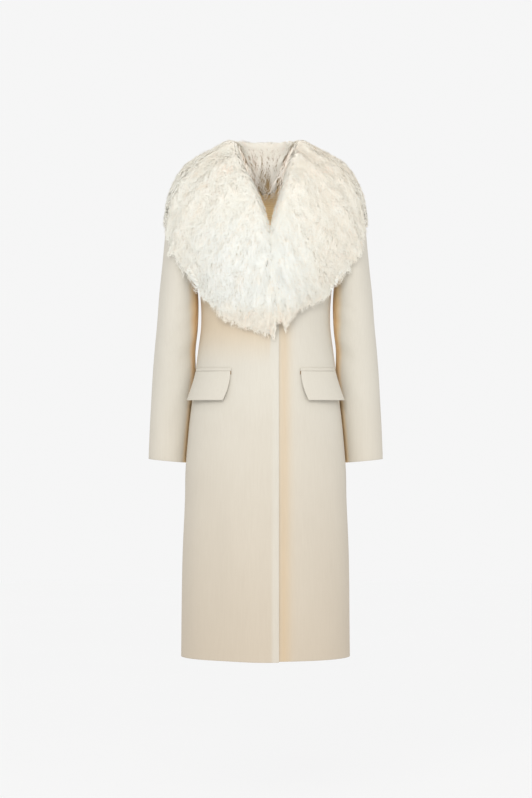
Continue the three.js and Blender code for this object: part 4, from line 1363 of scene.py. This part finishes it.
class COAT_OT_studio(bpy.types.Operator):
    """Sets up the pale floor, the even surroundings, the soft lights and the camera"""

    bl_idname = "coat.studio"
    bl_label = "Studio"

    def execute(self, context):
        studio = context.scene.coat_studio
        scene = context.scene
        scene.view_settings.view_transform = "Standard"
        grey = studio.backdrop
        world = bpy.data.worlds.new("studio")
        world.use_nodes = True
        background = world.node_tree.nodes["Background"]
        background.inputs["Color"].default_value = (grey, grey, grey, 1)
        scene.world = world
        mesh = bpy.data.meshes.new("floor")
        ring = [
            (FLOOR["radius"] * math.cos(a), FLOOR["radius"] * math.sin(a), -studio.floor_drop)
            for a in np.linspace(0, 2 * math.pi, FLOOR["sides"] + 1)[:-1]
        ]
        mesh.from_pydata(ring, [], [list(range(len(ring)))])
        mesh.materials.append(studio_finish("studio_floor", (FLOOR["grey"],) * 3, FLOOR["glow"]))
        floor = bpy.data.objects.new("floor", mesh)
        scene.collection.objects.link(floor)
        for name, place, size, share, colour in LIGHTS:
            light = bpy.data.lights.new(name, "AREA")
            light.shape = "RECTANGLE"
            light.size, light.size_y = size
            light.energy = studio.key_power * share
            light.color = colour
            lamp = bpy.data.objects.new(name, light)
            lamp.location = place
            aim = Vector(LIGHTS_AIM) - lamp.location
            lamp.rotation_euler = aim.to_track_quat("-Z", "Y").to_euler()
            scene.collection.objects.link(lamp)
        camera = bpy.data.cameras.new("camera")
        camera.sensor_width = CAMERA["sensor"]
        camera.lens = CAMERA["sensor"] * studio.camera_distance / CAMERA["view_height"]
        camera.clip_end = 100
        eye = bpy.data.objects.new("camera", camera)
        eye.location = (CAMERA["x"], -studio.camera_distance, CAMERA["z"])
        eye.rotation_euler = (math.pi / 2, 0, 0)
        scene.collection.objects.link(eye)
        scene.camera = eye
        return {"FINISHED"}


def front_shade(x, z, is_over):
    """Painted shadow under the fur and beside the lap edge of the lower front, painted highlight on the
    pressed front edge.
    """
    if is_over:
        return 0.42 * smooth((z + 480) / 110) - 0.5 * smooth((17 - (x + LAP)) / 3)
    return 0.42 * np.exp(-(((x - LAP - 12) / 15) ** 2))


def front_painted_bounce(u, z):
    """Painted golden bounce light, with lifted shade, where a front faces the sleeve, above the hips."""
    return 0.8 * smooth((u - 0.9) / 0.09) * smooth((z + 640) / 160)


def sleeve_painted_bounce(place, z):
    """Painted golden bounce light, with lifted shade, on the side of a sleeve that faces the body."""
    reach = (1 - np.cos(place / AROUND * 2 * np.pi)) / 2
    wide = mix(0.12, 0.26, smooth((z + 480) / 200))
    return 0.9 * (1 - smooth((reach - 0.02) / wide)) * smooth((-130 - z) / 60)


class COAT_OT_fronts(bpy.types.Operator):
    """Builds the two front panels, the wearer's right one lapping over the left one"""

    bl_idname = "coat.fronts"
    bl_label = "Fronts"

    def execute(self, context):
        cloth = context.scene.coat_cloth
        for name, side, is_over in (("left", 1, False), ("right", -1, True)):
            u, v = panel_grid("front")
            points = front_point(u, v, is_over)
            normals = grid_normals(points, 1)
            x, z = points[..., 0], points[..., 2]
            height = crease_height(x, z, FRONT_CREASES, 3 + side) * cloth.relief
            height += hem_ripple(x, z, FRONT_RIPPLE, side)
            height += sum(groove(x + LAP, line) for line in EDGE_LINES)
            height += groove((1 - u) * PANEL_ACROSS, SIDE_SEAM)
            height += groove(z - HEM_Z, HEM_LINE)
            height *= below_top(z, "front")
            # Painted shadow and highlight on the front, and painted golden bounce light towards the
            # sleeve.
            tints = {"shade": front_shade(x, z, is_over), "golden": front_painted_bounce(u, z)}
            points = points + normals * height[..., None]
            points[..., 1] = np.minimum(points[..., 1], RIDGE_Y - HALF_SEAM)
            piece = make_shell(
                "front_panel_" + name, points, grid_normals(points, 1), cloth.wall / MM,
                wool(context), side, tints,
            )
            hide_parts("front_" + name)
        return {"FINISHED"}


class COAT_OT_backs(bpy.types.Operator):
    """Builds the two halves of the back"""

    bl_idname = "coat.backs"
    bl_label = "Back"

    def execute(self, context):
        cloth = context.scene.coat_cloth
        for name, side in (("left", 1), ("right", -1)):
            u, v = panel_grid("back")
            points = back_point(u, v)
            normals = grid_normals(points, -1)
            x, z = points[..., 0], points[..., 2]
            height = crease_height(x, z, BACK_CREASES, 7 + side) * cloth.relief
            height += hem_ripple(x, z, BACK_RIPPLE, side)
            height += groove(x, CENTRE_SEAM) + groove((1 - u) * PANEL_ACROSS, SIDE_SEAM)
            height += groove(z - HEM_Z, HEM_LINE)
            height *= below_top(z, "back")
            points = points + normals * height[..., None]
            points[..., 1] = np.maximum(points[..., 1], RIDGE_Y + HALF_SEAM)
            points[..., 0] = np.maximum(points[..., 0], HALF_SEAM)
            piece = make_shell(
                "back_panel_" + name, points, grid_normals(points, -1), cloth.wall / MM,
                wool(context), side,
            )
            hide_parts("back_" + name)
        return {"FINISHED"}


class COAT_OT_sleeves(bpy.types.Operator):
    """Builds the top and under halves of both sleeves"""

    bl_idname = "coat.sleeves"
    bl_label = "Sleeves"

    def execute(self, context):
        cloth = context.scene.coat_cloth
        k = np.concatenate([[0]] + [i + np.arange(1, n + 1) / n for i, n in enumerate(SLEEVE_STEPS)])
        gap = HALF_SEAM / 20
        parts = {
            "top": (FRONT_SEAM + gap, BACK_SEAM - gap, 0.27, 0.64, 0.148),
            "under": (BACK_SEAM + gap - AROUND, FRONT_SEAM - gap, 0.12, 0.48, 0.049),
        }
        for name, side in (("left", 1), ("right", -1)):
            for part, (first, last, width, length, area) in parts.items():
                around = np.linspace(first, last, SLEEVE_COLUMNS[part])
                i, down = np.meshgrid(around, k, indexing="ij")
                points = sleeve_point(i, down)
                normals = grid_normals(points, -1)
                z = points[..., 2]
                place = np.where(i < 0, i + AROUND, i)
                height = crease_height(place * SLEEVE_ACROSS, z, SLEEVE_CREASES, 11 + side)
                height = height * cloth.relief * below_top(z, "sleeve")
                # Painted golden bounce light on the side that faces the body.
                golden = sleeve_painted_bounce(place, z)
                edge = np.minimum(np.abs(i - around[0]), np.abs(i - around[-1]))
                height += groove(edge * SLEEVE_ACROSS, SLEEVE_SEAM)
                height += groove(down - len(SLEEVE["y"]), CUFF_LINE)
                points = points + normals * height[..., None]
                piece = make_shell(
                    f"sleeve_{part}_half_{name}", points, grid_normals(points, -1),
                    cloth.wall / MM, wool(context), side, {"golden": golden},
                )
                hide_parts(f"sleeve_{part}_{name}")
        return {"FINISHED"}


class COAT_OT_pockets(bpy.types.Operator):
    """Builds the pocket flaps and the narrow welts above them"""

    bl_idname = "coat.pockets"
    bl_label = "Pockets"

    def execute(self, context):
        for name, side in (("left", 1), ("right", -1)):
            across = dense_ends(44, POCKET_EDGES)
            u, v = np.meshgrid(across, dense_ends(30, POCKET_EDGES), indexing="ij")
            points = flap_point(u, v)
            flap = make_shell(
                "pocket_flap_cloth_" + name, points, grid_normals(points, 1), FLAP["wall"],
                wool(context), side,
            )
            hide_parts("pocket_flap_" + name)
            u, v = np.meshgrid(across, np.linspace(0, 1, 9), indexing="ij")
            points = welt_point(u, v)
            welt = make_shell(
                "pocket_welt_cloth_" + name, points, grid_normals(points, 1), WELT["wall"],
                wool(context), side,
            )
            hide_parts("pocket_welt_" + name)
        return {"FINISHED"}


class COAT_OT_pocket_tacks(bpy.types.Operator):
    """Builds the small thread tacks at the inner ends of the pockets, dark brown as a painted shadow
    where the welt line ends
    """

    bl_idname = "coat.pocket_tacks"
    bl_label = "Pocket tacks"

    def execute(self, context):
        colour = tuple(context.scene.coat_cloth.tack_shadow_colour)
        # Painted shadow: dark brown thread where the welt line ends.
        thread = finish_of("tack_thread", facing_finish, colour, tuple(c * 0.6 for c in colour))
        for name, side in (("left", 1), ("right", -1)):
            x, z = np.meshgrid(np.linspace(*TACK["x"], 7), np.linspace(*TACK["z"], 13), indexing="ij")
            bulge = np.sqrt(np.clip(1 - ((x - np.mean(TACK["x"])) / 1.2) ** 2, 0, 1))
            points = front_skin(np.arccos(x / half_width(z)), z, TACK["lift"] + bulge)
            tack = make_shell(
                "pocket_tack_" + name, points, grid_normals(points, -1), 0.8, thread, side
            )
        return {"FINISHED"}


class COAT_OT_collar_pile(bpy.types.Operator):
    """Builds the dense undercoat of the fur collar"""

    bl_idname = "coat.collar_pile"
    bl_label = "Collar undercoat"

    def execute(self, context):
        fur = context.scene.coat_fur
        colours = tuple(fur.cream_colour), tuple(fur.root_shade_colour)
        pile = finish_of("fur_undercoat", undercoat_finish, *colours)
        for name in ("left", "right"):
            undercoat("collar_pile_" + name, "collar_" + name, 5.0, pile)
        return {"FINISHED"}


class COAT_OT_collar_locks(bpy.types.Operator):
    """Lays the long crimped locks, deeper ones along the opening and loose wisps over the fur collar"""

    bl_idname = "coat.collar_locks"
    bl_label = "Collar locks"

    def execute(self, context):
        fur = context.scene.coat_fur
        finish = fur_finish(context)
        long_locks = {
            "count": fur.locks, "steps": 12, "tufts": 3000, "length": fur.lock_length / MM,
            "turn": 0.6, "depth": 7.5, "shallow": shallow_crest, "lift": 0.5, "lift_spread": 1.6,
            "gather": 0.6, "gather_power": 1.3, "past": 2.5, "past_spread": 5.5,
            "inner_limit": inner_limit, "shorter": shorter_ends,
            "crimp": fur.crimp / MM, "wave": fur.wave / MM, "width": fur.lock_width / MM,
        }
        wisps = long_locks | {
            "count": fur.wisps, "tufts": 2600, "length": 34.0, "turn": 0.8, "depth": 2.0, "lift": 2.4,
            "lift_spread": 1.8, "gather": 0.25, "past": 3.0, "crimp": 3.4, "wave": 11.0, "width": 0.6,
        }
        deep_locks = long_locks | {
            "count": 1600, "tufts": 400, "depth": 16.0, "turn": 0.3, "gather": 0.3,
        }
        for name, side in (("left", 1), ("right", -1)):
            rng = np.random.default_rng(40 + side)
            form = FurForm(collar_surface(side > 0), side, collar_direction(side))
            locks = lean_outwards(fur_locks(form, rng, long_locks, lambda s, t: t < 0.96, collar_tone))
            behind = locks["roots"][:, 0] < BEHIND
            place_locks("fur_behind_" + name, part_of(locks, behind), finish)
            place_locks("fur_ahead_" + name, part_of(locks, ~behind), finish)
            filling = fur_locks(form, rng, deep_locks, near_opening, collar_tone)
            place_locks("fur_between_" + name, lean_outwards(filling), finish)
            loose = fur_locks(form, rng, wisps, lambda s, t: t < 0.98, collar_tone)
            place_locks("fur_wisps_" + name, lean_outwards(loose), finish)
        return {"FINISHED"}


class COAT_OT_curls(bpy.types.Operator):
    """Builds the tight curls that hang from the fur beside the sleeves"""

    bl_idname = "coat.curls"
    bl_label = "Curls"

    def execute(self, context):
        rng = np.random.default_rng(5)
        steps = CURL["steps"]
        share = np.linspace(0, 1, steps)
        lines, outs = [], []
        for x, z, fall, turns in CURLS:
            top = np.array([x, CURL["y"], z])
            for strand in range(CURL["strands"]):
                angle = turns * 2 * np.pi * share + rng.uniform(0, 6) + strand * CURL["apart"]
                radius = rng.uniform(*CURL["radius"]) * smooth(share / 0.25) * (1 - 0.45 * share)
                round_x, round_y = np.cos(angle), np.sin(angle)
                sway = np.stack([
                    radius * round_x + 2.5 * np.sin(share * 3 + strand), radius * 0.6 * round_y,
                    -fall * share + radius * 0.5 * np.sin(angle + 1),
                ], -1)
                lines.append(top + sway)
                outs.append(np.stack([round_x, round_y - 0.6, 0 * share], -1))
        lines, outs = np.array(lines), np.array(outs)
        outs /= np.linalg.norm(outs, axis=-1, keepdims=True)
        count = len(lines)
        locks = {
            "lines": lines, "outs": outs, "twist": np.zeros((count, steps)),
            "widths": np.full((count, steps), CURL["width"]) * np.clip(1.3 - share, 0.35, 1),
            "tones": np.full(count, CURL["tone"]),
        }
        place_locks("fur_curls", locks, fur_finish(context))
        return {"FINISHED"}


class COAT_OT_neck_fur(bpy.types.Operator):
    """Builds the fur that hangs inside the back of the neck"""

    bl_idname = "coat.neck_fur"
    bl_label = "Neck fur"

    def execute(self, context):
        fur = context.scene.coat_fur
        inner = tuple(fur.inner_colour)
        # Painted shade: the neck pile takes the inner fur and the facing darkened, as they lie in shadow
        # inside the neck.
        low = tuple(c * 0.45 for c in context.scene.coat_cloth.facing_colour)
        neck_root_shade = tuple(c * 0.5 for c in inner)
        pile = finish_of("neck_undercoat", undercoat_finish, tuple(c * 0.8 for c in inner), neck_root_shade, low)
        undercoat("neck_pile", "collar_inner", 2.5, pile)
        # Painted glow on the neck locks, as on the collar locks.
        finish = finish_of("neck_locks", lock_finish, NECK_SHADE_TONES, NECK_ROOT_SHADE, fur.scatter)
        rng = np.random.default_rng(77)
        u, v = np.meshgrid(np.linspace(0, 1, 120), np.linspace(1, 0, 60), indexing="ij")
        inside = stand_point(u, v)
        inside = inside - grid_normals(inside, 1) * STAND["wall"]
        u, q = np.meshgrid(np.linspace(0, 1, 120), np.linspace(0, 1, 16)[:-1], indexing="ij")
        angle = np.radians(mix(-STAND["spread"], STAND["spread"], u))
        half = NECK_CREST["half"] - NECK_CREST["narrower"] * q
        depth = NECK_CREST["depth"] - NECK_CREST["shallower"] * q
        height = NECK_CREST["top"] - NECK_CREST["drop"] * q * q
        over = np.stack([half * np.sin(angle), STAND["middle"] + depth * np.cos(angle), height], -1)
        inside = np.concatenate([over, inside], 1)

        def fall(points, by_t):
            inward = (np.array([0, STAND["middle"], 0]) - points) * np.array([1, 1, 0]) / 60
            return np.array([0, 0, -1.0]) + 0.5 * inward + 0.2 * swirl(points, 14, 8)

        form = FurForm(inside, -1, fall)
        spec = {
            "count": 250, "steps": 23, "tufts": 52, "length": 122.0, "turn": 0.12, "depth": 2.0,
            "shallow": lambda places: 1.0, "lift": 7.0, "lift_spread": 2.5, "gather": 0.88,
            "gather_power": 0.45, "past": 44.0, "past_spread": 16.0,
            "inner_limit": lambda stations: 75.0, "shorter": lambda stations: 0.0,
            "crimp": 4.6, "wave": 19.0, "width": 0.95,
        }

        # Painted shade: neck locks turn to darker tones lower down inside the neck.
        def tone_of(points, roots):
            return 0.05 + 0.35 * smooth((48 - points[:, 2]) / 60)

        locks = fur_locks(form, rng, spec, lambda s, t: (t < 0.36) * (0.6 - t), tone_of)
        place_locks("neck_fur_locks", locks, finish)
        short = spec | {
            "count": 860, "steps": 10, "tufts": 260, "length": 27.0, "lift": 3.0, "gather": 0.5,
        }
        locks = fur_locks(form, rng, short, lambda s, t: t < 0.24, tone_of)
        place_locks("neck_fur_top", locks, finish)
        for name, side in (("left", 1), ("right", -1)):
            form = FurForm(collar_surface(side > 0), side, collar_direction(side))
            place_locks("neck_side_locks_" + name, hanging_locks(form, side, 90 + side), finish)
        return {"FINISHED"}


class COAT_OT_neck_facing(bpy.types.Operator):
    """Builds the tan facing inside the back of the neck"""

    bl_idname = "coat.neck_facing"
    bl_label = "Neck facing"

    def execute(self, context):
        colour = tuple(context.scene.coat_cloth.facing_colour)
        shade = tuple(c * 0.75 for c in colour)
        u, v = np.meshgrid(np.linspace(0, 1, 40), np.linspace(0, 1, 30), indexing="ij")
        points = facing_point(u, v)
        # Painted glow: the facing gives off light of its own, lifting the shade inside the neck.
        finish = finish_of("ribbed_facing", facing_finish, colour, shade, 0.3)
        piece = make_shell("neck_facing_cloth", points, grid_normals(points, -1), FACING["wall"], finish)
        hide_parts("neck_facing")
        return {"FINISHED"}


class COAT_PT_panel(bpy.types.Panel):
    bl_label = "Long coat"
    bl_idname = "COAT_PT_panel"
    bl_space_type = "VIEW_3D"
    bl_region_type = "UI"
    bl_category = "Coat"

    def draw(self, context):
        for operator in OPERATORS:
            self.layout.operator(operator.bl_idname)
        for group in (context.scene.coat_cloth, context.scene.coat_fur, context.scene.coat_studio):
            for key in group.__annotations__:
                self.layout.prop(group, key)


GROUPS = {"coat_cloth": CoatCloth, "coat_fur": CoatFur, "coat_studio": CoatStudio}
OPERATORS = [
    COAT_OT_studio, COAT_OT_fronts, COAT_OT_backs, COAT_OT_sleeves, COAT_OT_pockets,
    COAT_OT_pocket_tacks, COAT_OT_neck_facing, COAT_OT_collar_pile, COAT_OT_collar_locks, COAT_OT_curls,
    COAT_OT_neck_fur,
]


def register():
    for made in [*GROUPS.values(), *OPERATORS, COAT_PT_panel]:
        bpy.utils.register_class(made)
    for name, group in GROUPS.items():
        setattr(bpy.types.Scene, name, PointerProperty(type=group))


def unregister():
    for name in GROUPS:
        delattr(bpy.types.Scene, name)
    for made in reversed([*GROUPS.values(), *OPERATORS, COAT_PT_panel]):
        bpy.utils.unregister_class(made)


def main():
    register()
    for operator in OPERATORS:
        group, name = operator.bl_idname.split(".")
        getattr(getattr(bpy.ops, group), name)()


if __name__ == "__main__":
    main()
